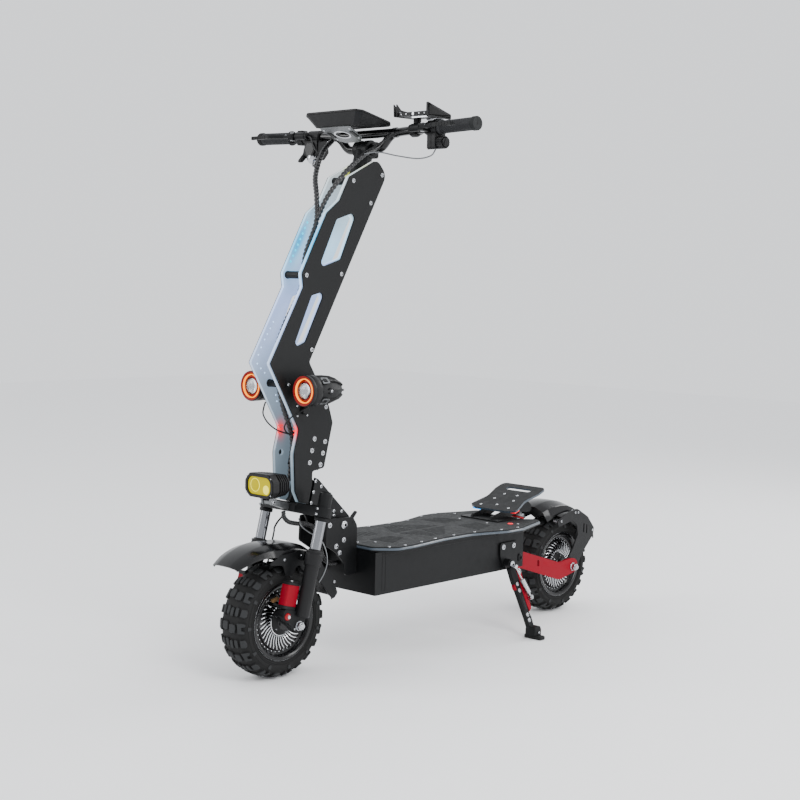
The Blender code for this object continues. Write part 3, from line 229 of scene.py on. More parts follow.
def lit_acrylic(name, gain):
    """Frosted acrylic lit from its edges: its glow changes with height and has soft coloured spots."""
    made = material(name, (0.42, 0.5, 0.6), 0.22, 0.0, 500, 0.01, 0.06, 0.08)
    tree = made.node_tree
    shader = tree.nodes["Principled BSDF"]
    place = node(tree, "TexCoord")
    split = node(tree, "SeparateXYZ")
    link(tree, place.outputs["Object"], split.inputs["Vector"])
    level = node(tree, "MapRange", **{"From Min": PANEL_LOW, "From Max": PANEL_HIGH})
    link(tree, split.outputs["Z"], level.inputs["Value"])
    glow = ramp(tree, level.outputs["Result"], ((0.0, (0.12, 0.16, 0.19)), (0.22, (0.17, 0.22, 0.27)),
        (0.34, (0.26, 0.33, 0.42)), (0.44, (0.36, 0.46, 0.66)), (0.6, (0.38, 0.5, 0.8)),
        (0.74, (0.4, 0.66, 0.86)), (0.86, (0.44, 0.56, 0.64)), (1.0, (0.5, 0.53, 0.53))))
    for centre, along, half, wide, colour in LIGHT_SPOTS:
        mixed = node(tree, "Mix", data_type="RGBA")
        link(tree, soft_spot(tree, place.outputs["Object"], centre, along, half, wide), mixed.inputs[0])
        link(tree, glow, mixed.inputs[6])
        mixed.inputs[7].default_value = (*colour, 1)
        glow = mixed.outputs[2]
    paint = node(tree, "VectorMath", operation="SCALE")
    link(tree, glow, paint.inputs[0])
    paint.inputs["Scale"].default_value = 0.6
    link(tree, paint.outputs["Vector"], shader.inputs["Base Color"])
    link(tree, glow, shader.inputs["Emission Color"])
    shader.inputs["Emission Strength"].default_value = gain
    return made


ACRYLIC = lit_acrylic("lit_acrylic", 0.85)
EDGE = lit_acrylic("lit_acrylic_edge", 1.7)
DECK_EDGE = material("deck_edge_strip", (0.045, 0.06, 0.078), 0.3, 0.0, 500, 0.01)


# ------------------------------------------------------------------ outlines
def rounded(corners, steps=8):
    """An outline whose corners (a, b, radius) are arcs; a radius of 0 keeps the corner."""
    outline = []
    count = len(corners)
    for k, (a, b, radius) in enumerate(corners):
        here = Vector((a, b))
        behind = Vector(corners[k - 1][:2]) - here
        ahead = Vector(corners[(k + 1) % count][:2]) - here
        if radius == 0:
            outline.append(here)
            continue
        half = behind.angle(ahead) / 2
        reach = min(radius * cos(half) / sin(half), 0.49 * min(behind.length, ahead.length))
        bend = reach * sin(half) / cos(half)
        centre = here + (behind.normalized() + ahead.normalized()).normalized() * hypot(reach, bend)
        start = here + behind.normalized() * reach - centre
        turn = start.angle_signed(here + ahead.normalized() * reach - centre)
        outline += [centre + Matrix.Rotation(-turn * step / steps, 2) @ start for step in range(steps + 1)]
    return outline


def mm(*rows):
    """Rows of millimetres as rows of metres."""
    return [tuple(value / 1000 for value in row) for row in rows]


def oblong(a0, b0, a1, b1, radius, steps=8):
    """A rectangle between two corners, its own corners rounded."""
    return rounded([(a0, b0, radius), (a1, b0, radius), (a1, b1, radius), (a0, b1, radius)], steps)


def shifted(outline, a, b):
    """The outline moved by (a, b)."""
    return [point + Vector((a, b)) for point in outline]


def mirrored(half):
    """The right half of an outline (x, y, radius) followed by its mirror image."""
    return list(half) + [(-x, y, radius) for x, y, radius in half[::-1]]


def turns(count, offset=0.0):
    """Evenly spaced angles round a circle; offset is a share of their spacing."""
    return [2 * pi * (k + offset) / count for k in range(count)]


def ring(radius, count, height=0.0):
    """Points round a circle at a height."""
    return [Vector((radius * cos(turn), radius * sin(turn), height)) for turn in turns(count)]


def circle(a, b, radius, count=32):
    """A circle as an outline."""
    return [Vector((a, b)) + point.xy for point in ring(radius, count)]


def radial(turn):
    """The direction out from a wheel's axle at an angle."""
    return Vector((0, cos(turn), sin(turn)))


def inset(outline, by):
    """The outline moved inwards."""
    area = sum(p.x * q.y - q.x * p.y for p, q in zip(outline, outline[1:] + outline[:1]))
    sign = 1 if area > 0 else -1
    moved = []
    for k, here in enumerate(outline):
        run = (outline[(k + 1) % len(outline)] - outline[k - 1]).normalized()
        moved.append(here + Vector((-run.y, run.x)) * by * sign)
    return moved


def axes(along_x, along_y, along_z, start):
    """A frame at start with the given axes."""
    made = Matrix((along_x, along_y, along_z)).transposed().to_4x4()
    made.translation = start
    return made


def frame_along(start, direction):
    """A frame at start whose Z runs along direction."""
    return Matrix.Translation(start) @ Vector(direction).to_track_quat("Z", "Y").to_matrix().to_4x4()


SIDE = Matrix(((0, 0, 1, 0), (1, 0, 0, 0), (0, 1, 0, 0), (0, 0, 0, 1)))   # outlines in (Y, Z), drawn along X
TOP = Matrix.Identity(4)                                                  # outlines in (X, Y), drawn along Z
FACE = Matrix(((1, 0, 0, 0), (0, 0, -1, 0), (0, 1, 0, 0), (0, 0, 0, 1)))  # outlines in (X, Z), drawn along -Y


# ------------------------------------------------------------------ pieces
BEVEL_ANGLE = radians(40)


def soften(shown, width, steps):
    """Bevel the sharp edges of an object."""
    edge = shown.modifiers.new("edges", "BEVEL")
    edge.width = width
    edge.segments = steps
    edge.limit_method = "ANGLE"
    edge.angle_limit = BEVEL_ANGLE


class Piece:
    """One visible piece, put together from closed shapes."""

    def __init__(self, name):
        self.name, self.shape, self.finishes = name, bmesh.new(), []

    def slot_of(self, finish):
        """The finish's material slot, added where it is new."""
        if finish not in self.finishes:
            self.finishes.append(finish)
        return self.finishes.index(finish)

    def shell(self, points, faces, finish, rim_faces=(), rim=None):
        """Add points and faces in one finish, and the faces of its rim in another."""
        made = [self.shape.verts.new(p) for p in points]
        for group, look in ((faces, finish), (rim_faces, rim or finish)):
            if group:
                slot = self.slot_of(look)
            for face in group:
                self.shape.faces.new([made[k] for k in face]).material_index = slot
        return self

    def rings(self, rings, finish, closed=False):
        """A skin over rings of points, capped at both ends unless it closes on itself."""
        size, count = len(rings[0]), len(rings)
        faces = []
        for a in range(count if closed else count - 1):
            b = (a + 1) % count
            for k in range(size):
                ahead = (k + 1) % size
                faces.append((a * size + k, a * size + ahead, b * size + ahead, b * size + k))
        if not closed:
            faces += [tuple(range(size - 1, -1, -1)), tuple((count - 1) * size + k for k in range(size))]
        return self.shell([p for ring in rings for p in ring], faces, finish)

    def plate(self, outline, low, high, finish, where=TOP, holes=(), rim=None):
        """A flat plate with holes, drawn from low to high along the frame's Z; rim is its edges' finish."""
        loops = [[Vector((p[0], p[1], 0)) for p in loop] for loop in (outline, *holes)]
        flat = [p for loop in loops for p in loop]
        count = len(flat)
        points = [where @ Vector((p.x, p.y, h)) for h in (low, high) for p in flat]
        caps = tessellate_polygon(loops) if holes else [tuple(range(count))]
        faces = [tuple(t) for t in caps] + [tuple(k + count for k in reversed(t)) for t in caps]
        edges = []
        start = 0
        for loop in loops:
            size = len(loop)
            for k in range(size):
                here, ahead = start + k, start + (k + 1) % size
                edges.append((here, ahead, ahead + count, here + count))
            start += size
        return self.shell(points, faces, finish, edges, rim)

    def lathe(self, profile, start, direction, finish, count=40, closed=False):
        """A profile of (radius, height) turned about an axis; closed joins its last point to its first."""
        where = frame_along(start, direction)
        return self.rings([[where @ p for p in ring(r, count, h)] for r, h in profile], finish, closed)

    def box(self, low, high, finish, where=TOP):
        """A box between two corners of a frame."""
        corners = [(low[0], low[1]), (high[0], low[1]), (high[0], high[1]), (low[0], high[1])]
        return self.plate([Vector(c) for c in corners], low[2], high[2], finish, where)

    def rod(self, start, end, radius, finish, count=24, chamfer=0.0006):
        """A round bar with chamfered ends."""
        start, end = Vector(start), Vector(end)
        length = (end - start).length
        return self.lathe(((radius - chamfer, 0), (radius, chamfer), (radius, length - chamfer),
            (radius - chamfer, length)), start, end - start, finish, count)

    def tube(self, route, radius, finish, count=12):
        """A round bar along a smooth route; radius may be a function of the part of the way."""
        loops = []
        across = None
        for k, p in enumerate(route):
            run = (route[min(k + 1, len(route) - 1)] - route[max(k - 1, 0)]).normalized()
            if across is None:
                across = run.orthogonal().normalized()
            across = (across - run * across.dot(run)).normalized()
            other = run.cross(across)
            size = radius(k / (len(route) - 1)) if callable(radius) else radius
            loops.append([p + (across * cos(turn) + other * sin(turn)) * size for turn in turns(count)])
        return self.rings(loops, finish)

    def screw(self, place, out, size=0.0042, finish=None, height=0.0026, washer=False):
        """A button-head screw with a hexagonal socket, its head standing out of the surface."""
        finish = finish or STEEL
        rim = 0.52 * size
        profile = [(size, -0.0006), (size, 0.15 * height), (0.9 * size, 0.55 * height),
            (0.72 * size, 0.9 * height), (rim + 0.0003, height)]
        where = frame_along(place, out)
        if washer:
            self.lathe(((1.45 * size, -0.0006), (1.45 * size, 0.0007), (0.5 * size, 0.0007)), place, out,
                finish, 24)
        loops = [[where @ p for p in ring(r, 18, h)] for r, h in profile]
        for depth in (height, 0.35 * height):
            socket = []
            for turn in turns(18):
                reach = rim * cos(pi / 6) / cos(turn % (pi / 3) - pi / 6)
                socket.append(where @ Vector((reach * cos(turn), reach * sin(turn), depth)))
            loops.append(socket)
        self.rings(loops[:-1], finish)
        self.rings(loops[-2:], BLACK)
        return self

    def side_screws(self, spots, x, size, height, washer=False, signs=(1, -1)):
        """Screws at places (Y, Z) on both sides, at a distance x from the middle plane."""
        for sign in signs:
            for y, z in spots:
                self.screw(Vector((sign * x, y, z)), X * sign, size, STEEL, height, washer)
        return self

    def nut(self, place, out, size, height, finish):
        """A hexagonal nut with a chamfered top."""
        where = frame_along(place, out)
        profile = ((size, 0), (size, height * 0.8), (0.93 * size, height))
        return self.rings([[where @ p for p in ring(r, 6, h)] for r, h in profile], finish)

    def done(self, body, replaces=(), bevel=0.0, steps=2, angle=32, slot=None):
        """Make the object, smooth where it is round, and let it ride on its body."""
        bmesh.ops.recalc_face_normals(self.shape, faces=self.shape.faces)
        mesh = bpy.data.meshes.new(self.name)
        self.shape.to_mesh(mesh)
        self.shape.free()
        for finish in self.finishes:
            mesh.materials.append(finish)
        mesh.shade_smooth()
        mesh.set_sharp_from_angle(angle=radians(angle))
        made = bpy.data.objects.new(self.name, mesh)
        bpy.context.scene.collection.objects.link(made)
        if bevel:
            soften(made, bevel, steps)
        if body:
            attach(made, body)
        if replaces:
            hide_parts(*replaces)
        return made


def smooth_route(points, spacing=0.004):
    """Points at an even spacing along a Catmull-Rom curve."""
    points = [Vector(p) for p in points]
    fence = [2 * points[0] - points[1]] + points + [2 * points[-1] - points[-2]]
    dense = []
    for k in range(1, len(fence) - 2):
        p0, p1, p2, p3 = fence[k - 1:k + 3]
        for step in range(40):
            t = step / 40
            bend = (2 * p0 - 5 * p1 + 4 * p2 - p3) * t ** 2 + (3 * p1 - p0 - 3 * p2 + p3) * t ** 3
            dense.append(0.5 * (2 * p1 + (p2 - p0) * t + bend))
    dense.append(points[-1])
    kept = [dense[0]]
    for p in dense[1:-1]:
        if (p - kept[-1]).length >= spacing and (p - dense[-1]).length > 0.6 * spacing:
            kept.append(p)
    return kept + [dense[-1]]


def dress(names, finish, bevel=0.0008, steps=2):
    """Give CAD nodes whose shape is right a finish and softened edges."""
    for name in names:
        shown = frame["nodes"][name]
        shown.data.materials.clear()
        shown.data.materials.append(finish)
        if bevel:
            soften(shown, bevel, steps)


def on_sides(low, high, sign):
    """A stretch along X, measured out from the middle, on the left (1) or right (-1) side."""
    return sorted((sign * low, sign * high))


def steer(x, y, s):
    """A point of the steering frame: s runs up the axis and y points rearwards."""
    return STEER @ Vector((x, y, s))


# ------------------------------------------------------------------ wheels
TYRE_LINE = mm((138.8, 0), (138.4, 14), (136, 27), (131, 37.5), (123.5, 45.2), (115, 47.8), (107, 46.2),
    (101.5, 42.8))


def tyre_surface(along):
    """Radius, side and outward slope of the carcass at a distance from the middle of the tread."""
    left = abs(along)
    for (r0, x0), (r1, x1) in zip(TYRE_LINE, TYRE_LINE[1:]):
        step = hypot(r1 - r0, x1 - x0)
        if left <= step or (r1, x1) == TYRE_LINE[-1]:
            t = left / step
            sign = 1 if along >= 0 else -1
            return r0 + (r1 - r0) * t, sign * (x0 + (x1 - x0) * t), (x1 - x0) / step, sign * (r0 - r1) / step
        left -= step


TREAD_RADIUS = 0.138
BLOCK_HEXAGON = mm((-11.5, -6), (-8.5, -10.5), (8.5, -10.5), (11.5, -3), (9.5, 8.5), (2, 10.5), (-9.5, 8.5))
BLOCK_BRACKET = mm((-13.5, -8.5), (12.5, -10.5), (14.5, 2), (12.5, 10.5), (6.5, 9.5), (4.5, 1.5),
    (-4.5, 1.5), (-7.5, 9), (-13.5, 7.5))
BLOCK_OVAL = mm((-11.5, -2.2), (-8.5, -5.2), (2, -5.8), (9.5, -4.4), (11.8, 1.2), (8.5, 5.2), (-3, 4.8),
    (-10, 4.2))
BLOCK_CUP = mm((-9.5, -7.5), (9.5, -6.5), (11, 5.5), (5, 9), (-6, 9.2), (-11, 4))
BLOCK_LUG = mm((-6, -4.5), (6, -4.5), (4.5, 5.5), (-4.5, 5.5))
TREAD_PAIRS = 11
TREAD_ROWS = (   # (part of the pitch, distance from the middle, outline, height, flip)
    (0.0, 0.0125, BLOCK_HEXAGON, 0.006, 1), (0.06, -0.0125, BLOCK_HEXAGON, 0.006, -1),
    (0.02, 0.0365, BLOCK_BRACKET, 0.0062, 1), (0.04, -0.0365, BLOCK_BRACKET, 0.0062, 1),
    (0.5, 0.0068, BLOCK_OVAL, 0.0058, 1), (0.54, -0.007, BLOCK_OVAL, 0.0058, -1),
    (0.52, 0.0215, BLOCK_OVAL, 0.0058, -1), (0.52, -0.0215, BLOCK_OVAL, 0.0058, 1),
    (0.51, 0.0385, BLOCK_CUP, 0.006, 1), (0.53, -0.0385, BLOCK_CUP, 0.006, 1),
    (0.0, 0.056, BLOCK_LUG, 0.0026, 1), (0.04, -0.056, BLOCK_LUG, 0.0026, 1))


def tyre(name, centre, body, node_name):
    """An off-road tyre: round carcass with moulded sidewall lines and separate tread blocks."""
    carcass = [tyre_surface(k * 0.0056)[:2] for k in range(-11, 12)]
    bead = mm((100, 42.8), (99.2, 41), (95, 40.5), (91.5, 39.8), (91.3, 33), (98.5, 31), (110, 40),
        (125, 38), (132, 22), (133, 0))
    profile = carcass + list(bead) + [(r, -x) for r, x in bead[-2::-1]]
    made = Piece(name).lathe(profile, centre, X, TYRE, 120, closed=True)
    for line, at in ((0.0011, 0.1045), (0.0009, 0.1085), (0.0008, 0.118)):
        for sign in (1, -1):
            x = sign * (0.0452 if at < 0.106 else 0.0468 if at < 0.11 else 0.0472)
            made.lathe([(at + line * 1.6 * cos(a), x + sign * line * sin(a)) for a in turns(8)], centre, X,
                TYRE, 96, closed=True)
    for pair in range(TREAD_PAIRS):
        for part, across, outline, height, flip in TREAD_ROWS:
            middle = 2 * pi * (pair + part) / TREAD_PAIRS
            side = 1 if across > 0 else -1
            loops = []
            for lift, scale in ((-0.0015, 1.08), (height * 0.75, 0.97), (height, 0.86)):
                loop = []
                for du, dv in outline:
                    r, x, nr, nx = tyre_surface(across + side * dv * scale)
                    turn = middle + flip * du * scale / TREAD_RADIUS
                    radius = r + nr * lift
                    loop.append(centre + Vector((x + nx * lift, -radius * cos(turn), radius * sin(turn))))
                loops.append(loop)
            made.rings(loops[:2], TYRE).rings(loops[1:], TREAD)
    return made.done(body, (node_name,), angle=38, slot="tyre")


RIM_LINE = mm((7.8, 46.8), (19.5, 46.8), (20.5, 45.8), (22.5, 42.5), (32, 37.2), (33.5, 35), (72, 32.5),
    (74.5, 30), (79, 29.2), (83.5, 32), (86.8, 40), (88.5, 42.8), (90.8, 43.8), (95, 44.8), (97.8, 44.6),
    (98.5, 43.4), (97.8, 42), (92, 40.5), (90.5, 39.6))


def rim(name, centre, body, node_name):
    """Deep gloss rim and hub motor shell, with a bright ring, a steel lip and five screws on each cover; the
    curved fins are a separate piece.
    """
    made = Piece(name)
    made.lathe(list(RIM_LINE) + [(r, -x) for r, x in RIM_LINE[::-1]], centre, X, GLOSS, 120, closed=True)
    for sign in (1, -1):
        out = X * sign
        made.lathe(mm((20.5, 45.5), (25, 43.2), (33, 38.4), (34.5, 36.6), (35.2, 33.5)), centre, out,
            PLASTIC, 72)
        made.lathe(mm((36.5, 33), (36.5, 35.2), (35, 35.6), (35, 33)), centre, out, FIN, 96, closed=True)
        made.lathe(mm((97.2, 44.3), (98.3, 44.1), (98.5, 43.6), (97.8, 43.1)), centre, out, STEEL, 120,
            closed=True)
        for away in map(radial, turns(5)):
            made.screw(centre + out * 0.0402 + away * 0.0275, (out + away * 0.45).normalized(), 0.0024,
                STEEL, 0.0016)
    return made.done(body, (node_name,), angle=30, slot="hub_alloy")


FIN_COUNT, FIN_STEPS = 36, 6
FIN_START, FIN_REACH, FIN_SWEEP = 0.0372, 0.0338, 0.3
COVER_FACE = 0.0325


def fins(name, centre, body):
    """The bright curved fins of both motor covers."""
    made = Piece(name)
    for sign in (1, -1):
        for start in turns(FIN_COUNT):
            loops = []
            for step in range(FIN_STEPS + 1):
                part = step / FIN_STEPS
                radius = FIN_START + FIN_REACH * part
                turn = start + sign * FIN_SWEEP * part ** 1.4
                out, side = radial(turn), radial(turn + pi / 2)
                wide = 0.00085 + 0.00035 * part
                crest = 0.0365 + 0.0034 * min(1, 6 * part) * min(1, 5 * (1.02 - part))
                foot = centre + out * radius + X * sign * COVER_FACE
                top = centre + out * radius + X * sign * crest
                loops.append([foot - side * wide * 1.5, foot + side * wide * 1.5, top + side * wide,
                    top - side * wide])
            made.rings(loops, FIN)
            spot = centre + radial(start + sign * 0.32) * 0.0772 + X * sign * 0.0293
            made.lathe(mm((1.6, 0), (1.6, 1), (0.9, 1.6)), spot, X * sign, STEEL, 10)
    return made.done(body, angle=40, slot="hub_alloy")


def valve(name, centre, body):
    """The valve stem through the rim."""
    made = Piece(name)
    base = centre + Vector((0.031, -0.056, 0.056))
    tip = base + Vector((0.011, 0.0135, -0.0135))
    made.rod(base, base.lerp(tip, 0.6), 0.003, RUBBER, 16).rod(base.lerp(tip, 0.55), tip, 0.0023, CHROME,
        16)
    return made.done(body)


DISC_OUT, DISC_IN, DISC_RADIUS = -0.0494, -0.0476, 0.0688


def disc(name, centre, body, node_name):
    """A wavy, drilled brake disc on its carrier."""
    outer = [p.xy * (DISC_RADIUS + 0.0012 * cos(12 * turn)) for turn, p in zip(turns(144), ring(1, 144))]
    holes = []
    for turn in turns(6):
        corners = [(cos(turn + a) * r, sin(turn + a) * r, 0.004)
            for a, r in ((-0.34, 0.047), (0.0, 0.05), (0.34, 0.047), (0.3, 0.025), (0.0, 0.0235),
            (-0.3, 0.025))]
        holes.append(rounded(corners, 3))
    for k, turn in enumerate(turns(36, 0.5)):
        radius = (0.0555, 0.06, 0.0645)[k % 3]
        holes.append(circle(radius * cos(turn), radius * sin(turn), 0.0017, 10))
    where = Matrix.Translation(centre) @ SIDE
    made = Piece(name).plate(outer, DISC_OUT, DISC_IN, DISC, where, holes + [circle(0, 0, 0.0103, 32)])
    for turn in turns(6, 0.5):
        made.screw(centre - X * 0.0493 + radial(turn) * 0.018, -X, 0.003, STEEL, 0.0018)
    return made.done(body, (node_name,), angle=30, slot="disc_steel")


def axle_nuts(name, centre, body, inner, outer, node_name):
    """The fixed axle with washers, nuts and domed ends."""
    made = Piece(name).rod(centre - X * (outer + 0.004), centre + X * (outer + 0.004), 0.0064, STEEL, 28,
        0.001)
    for sign in (1, -1):
        out = X * sign
        made.lathe(mm((6.6, 0), (12.2, 0), (12.2, 1.4), (6.6, 1.4)), centre + out * inner, out, CHROME, 36,
            closed=True)
        made.nut(centre + out * (inner + 0.0014), out, 0.0112, outer - inner - 0.0024, CHROME)
        made.lathe(mm((7.5, 0), (7.5, 1.6), (6, 4), (3, 5.2)), centre + out * (outer - 0.0012), out,
            CHROME, 28)
    return made.done(body, (node_name,), bevel=0.0003, slot="bright_steel")


for end, centre, spin in (("front", FRONT, "front_wheel"), ("rear", REAR, "rear_wheel")):
    tyre(end + "_tyre_tread", centre, spin, end + "_tyre")
    rim(end + "_rim", centre, spin, end + "_hub_motor")
    fins(end + "_motor_fins", centre, spin)
    valve(end + "_valve", centre, spin)
    disc(end + "_disc", centre, spin, end + "_brake_disc")
axle_nuts("front_axle_set", FRONT, "fork_lowers", 0.0992, 0.11, "front_axle")
axle_nuts("rear_axle_set", REAR, "swing_arm", 0.094, 0.108, "rear_axle")


# ------------------------------------------------------------------ fork
LEG = 0.1025
CROWN_LOW, CROWN_TOP, ARM_END = 0.272, 0.296, 0.0235


def crown():
    """Forged crown plate with pinch slots, steerer, leg caps with adjusters and the lamp's arm."""
    made = Piece("fork_crown_forged")
    arms = []
    for sign, start in ((1, -90), (-1, 90)):
        for k in range(21):
            turn = radians(start + 9 * k)
            arms.append(Vector((sign * (LEG + ARM_END * cos(turn)), ARM_END * sin(turn))))
    waist = [Vector((p.x, p.y * (0.78 + 0.22 * min(1, (p.x / 0.06) ** 2)))) for p in arms]
    made.plate(waist, CROWN_LOW, CROWN_TOP, BLACK, STEER)
    made.lathe(((0.033, CROWN_LOW + 0.0004), (0.034, CROWN_LOW + 0.0016), (0.034, CROWN_TOP - 0.001),
        (0.0325, CROWN_TOP - 0.0002)), FRONT, UP, BLACK, 56)
    made.rod(steer(0, 0, CROWN_TOP - 0.004), steer(0, 0, 0.478), 0.0143, BLACK, 40)
    for sign in (1, -1):
        x = sign * LEG
        cap = mm((17.6, -1), (17.6, 3), (16.9, 4), (16.9, 33), (16, 38.5), (13, 40), (11, 40), (11, 42.5),
            (9.5, 43.5))
        made.lathe(cap, steer(x, 0, CROWN_TOP - 0.003), UP, BLACK, 48)
        made.lathe(mm((16.5, 0), (17.2, -3), (17.2, -9), (15, -10.5)), steer(x, 0, CROWN_LOW), UP, BLACK,
            40)
        for turn in turns(20):
            spot = steer(x + 0.0108 * cos(turn), 0.0108 * sin(turn), CROWN_TOP + 0.0372)
            made.rod(spot, spot + UP * 0.0024, 0.0009, BLACK, 6)
        for step in (-0.007, 0.007):
            made.screw(steer(x + sign * 0.002, -0.0229, (CROWN_LOW + CROWN_TOP) / 2 + step),
                STEER.to_3x3() @ -Y, 0.0036, STEEL)
    tilt = pivot("headlamp_tilt")
    arm = [steer(0, -0.02, CROWN_LOW + 0.002), steer(0, -0.02, CROWN_TOP - 0.004)]
    arm = rounded([(arm[0].y, arm[0].z, 0), (arm[1].y, arm[1].z, 0), (tilt.y + 0.002, tilt.z + 0.0058,
        0.003), (tilt.y - 0.006, tilt.z, 0.003), (tilt.y - 0.001, tilt.z - 0.0058, 0.003)], 4)
    made.plate(arm, -0.0118, 0.0118, ALLOY, SIDE).rod(tilt - X * 0.0119, tilt + X * 0.0119, 0.007, ALLOY,
        28)
    return made.done("steering", ("fork_crown",), bevel=0.0014, steps=3, slot="black_alloy")


crown()
for side, sign in SIDES:
    x = sign * LEG
    foot = steer(x, 0, 0)
    stanchion = Piece("stanchion_tube_" + side)
    stanchion.lathe(mm((12, 90), (13.4, 91.5), (13.4, 329), (12.5, 330)), foot, UP, TUBE, 56)
    stanchion.done("steering", ("stanchion_" + side,), slot="bright_steel")

    lower = Piece("fork_leg_" + side)
    lower.lathe(mm((12, 22.5), (16.5, 22.5), (18, 24.5), (18, 146), (18.8, 148.5), (21.7, 152),
        (21.9, 154.5), (21.9, 179), (20.8, 180.5), (20.8, 182.5), (21.9, 184), (21.5, 186.8), (19, 188.2),
        (14, 188.4), (13.9, 180), (13.9, 47), (12, 46)), foot, UP, POWDER, 56, closed=True)
    lower.lathe(mm((13.9, 187.8), (17.2, 187.8), (16.6, 190.3), (15, 191.2), (13.8, 190.5)), foot, UP,
        RUBBER, 48, closed=True)
    lug = rounded(mm((18, -8, 10), (17.8, 50, 0), (-17.8, 50, 0), (-17.8, 34.5, 2), (-56, 34.5, 5),
        (-60.5, 18, 8), (-22, -8, 10), (-6, -19, 10), (10, -19, 10)))
    out = on_sides(0.0768, 0.0985, sign)
    lower.plate(lug, out[0], out[1], BLACK, STEER @ SIDE, [circle(0, 0, 0.007, 28)])
    for y, s in ((-0.01, 0.026), (0.009, 0.026), (-0.012, -0.01)):
        lower.screw(steer(sign * 0.0985, y, s), X * sign, 0.0028, STEEL, 0.0018)
    lower.done("fork_lowers", ("fork_lower_" + side,), bevel=0.0007, slot="black_alloy")

    tank = Piece("damper_tank_" + side)
    low, high = on_sides(0.0692, 0.0958, sign)
    body = oblong(low, -0.058, high, -0.0192, 0.0045, 5)
    tank.plate(body, 0.043, 0.0945, RED, STEER)
    tank.plate(inset(body, -0.0005), 0.095, 0.101, PLASTIC, STEER).plate(inset(body, 0.0012), 0.101,
        0.1036, PLASTIC, STEER)
    tank.plate(inset(body, -0.0004), 0.0348, 0.0425, PLASTIC, STEER)
    tank.plate(inset(body, 0.001), 0.042, 0.0955, PLASTIC, STEER)
    tank.screw(steer(sign * 0.0825, -0.0385, 0.1036), UP, 0.0034, STEEL, 0.0024, washer=True)
    tank.done("fork_lowers", ("canister_" + side,), bevel=0.0009, steps=3, slot="red_alloy")

    bolt = Piece("damper_bolt_" + side)
    spot = steer(sign * 0.0985, -0.0445, 0.0175)
    bolt.lathe(mm((9.2, -0.8), (9.2, 1.2), (7.5, 4), (5, 5.2)), spot, X * sign, RED_GLOSS, 36)
    bolt.lathe(mm((5, 4.6), (5, 6.6), (3.6, 7.6)), spot, X * sign, CHROME, 6)
    bolt.done("fork_lowers")

caliper = Piece("front_caliper")
caliper.plate(rounded(mm((-16, -12, 6), (18, -14, 6), (22, 8, 8), (-4, 16, 8), (-20, 8, 6)), 5), -0.0655,
    -0.0512, PLASTIC, Matrix.Translation(FRONT + Vector((0, -0.036, 0.058))) @ SIDE)
caliper.rod(FRONT + Vector((-0.069, -0.03, 0.06)), FRONT + Vector((-0.064, -0.03, 0.06)), 0.0085, ALLOY, 28)
caliper.box((-0.0765, -0.047, 0.048), (-0.06, -0.036, 0.06), PLASTIC, STEER)
caliper.plate(oblong(-0.006, -0.014, 0.006, 0.014, 0.002, 3), -0.052, -0.0505, BRONZE,
    Matrix.Translation(FRONT + Vector((0, -0.03, 0.056))) @ SIDE)
caliper.done("fork_lowers", bevel=0.001)
sensor = Piece("speed_sensor")
sensor.plate(rounded(mm((-10, -5, 3), (12, 0, 3), (14, 8, 3), (-8, 4, 3)), 4), 0.0515, 0.06, BRONZE,
    Matrix.Translation(FRONT + Vector((0, -0.044, 0.062))) @ SIDE)
sensor.rod(FRONT + Vector((0.056, -0.048, 0.055)), FRONT + Vector((0.0785, -0.036, 0.047)), 0.0032, RUBBER,
    12)
sensor.done("fork_lowers", bevel=0.0006)


def guard(name, centre, span, ridge, drop, wide, body, node_name, extra):
    """A mudguard with a flat crown facet, two sloping facets and rolled lips.

    ridge, drop and wide give its radius, its fall to the lip and its half width along the arc, from 0 to 1.
    """
    steps = 56
    section = ((-1.0, 1.0), (-0.985, 0.8), (-0.93, 0.42), (-0.9, 0.36), (-0.47, 0.07), (-0.42, 0.05),
        (0.0, 0.03), (0.42, 0.05), (0.47, 0.07), (0.9, 0.36), (0.93, 0.42), (0.985, 0.8), (1.0, 1.0))
    loops = []
    for step in range(steps + 1):
        part = step / steps
        angle = span[0] + (span[1] - span[0]) * part
        out = Vector((0, -cos(angle), sin(angle)))
        half = wide(part)
        tip = min(1, 14 * part, 14 * (1 - part) + 0.55)
        outer, inner = [], []
        for across, down in section:
            radius = ridge(part) - drop(part) * down
            trim = 1 - 0.1 * (1 - tip) * abs(across)
            outer.append(centre + out * radius + X * half * across * trim)
            inner.append(centre + out * (radius - 0.0026 * (down < 1)) + X * (half - 0.0028) * across * trim)
        loops.append(outer + inner[::-1])
    made = Piece(name).rings(loops, SHELL)
    extra(made)
    return made.done(body, (node_name,), angle=24, slot="gloss_black")


def front_details(made):
    """Side plates of the front mudguard, with their bolts."""
    for sign in (1, -1):
        low, high = on_sides(0.059, 0.0622, sign)
        plate = rounded(mm((-645, 298, 4), (-600, 318, 12), (-545, 321, 20), (-478, 294, 20),
            (-420, 240, 8), (-402, 198, 8), (-418, 180, 10), (-438, 205, 10), (-500, 272, 30),
            (-545, 288, 10), (-560, 262, 6), (-584, 266, 6), (-592, 292, 10)), 5)
        made.plate(plate, low, high, BLACK, SIDE)
        made.side_screws(((-0.588, 0.306), (-0.415, 0.228), (-0.5, 0.29)), 0.0622, 0.004, 0.0026,
            signs=(sign,))
        low, high = on_sides(0.06, 0.0802, sign)
        made.box((low, -0.013, 0.159), (high, 0.013, 0.181), BLACK, STEER)
        made.screw(steer(sign * 0.07, -0.013, 0.17), STEER.to_3x3() @ -Y, 0.003, STEEL, 0.002)


def front_ridge(part):
    """The front mudguard's radius along its crown."""
    return 0.226 - 0.028 * min(part / 0.35, 1) - 0.022 * max(part - 0.55, 0) / 0.45


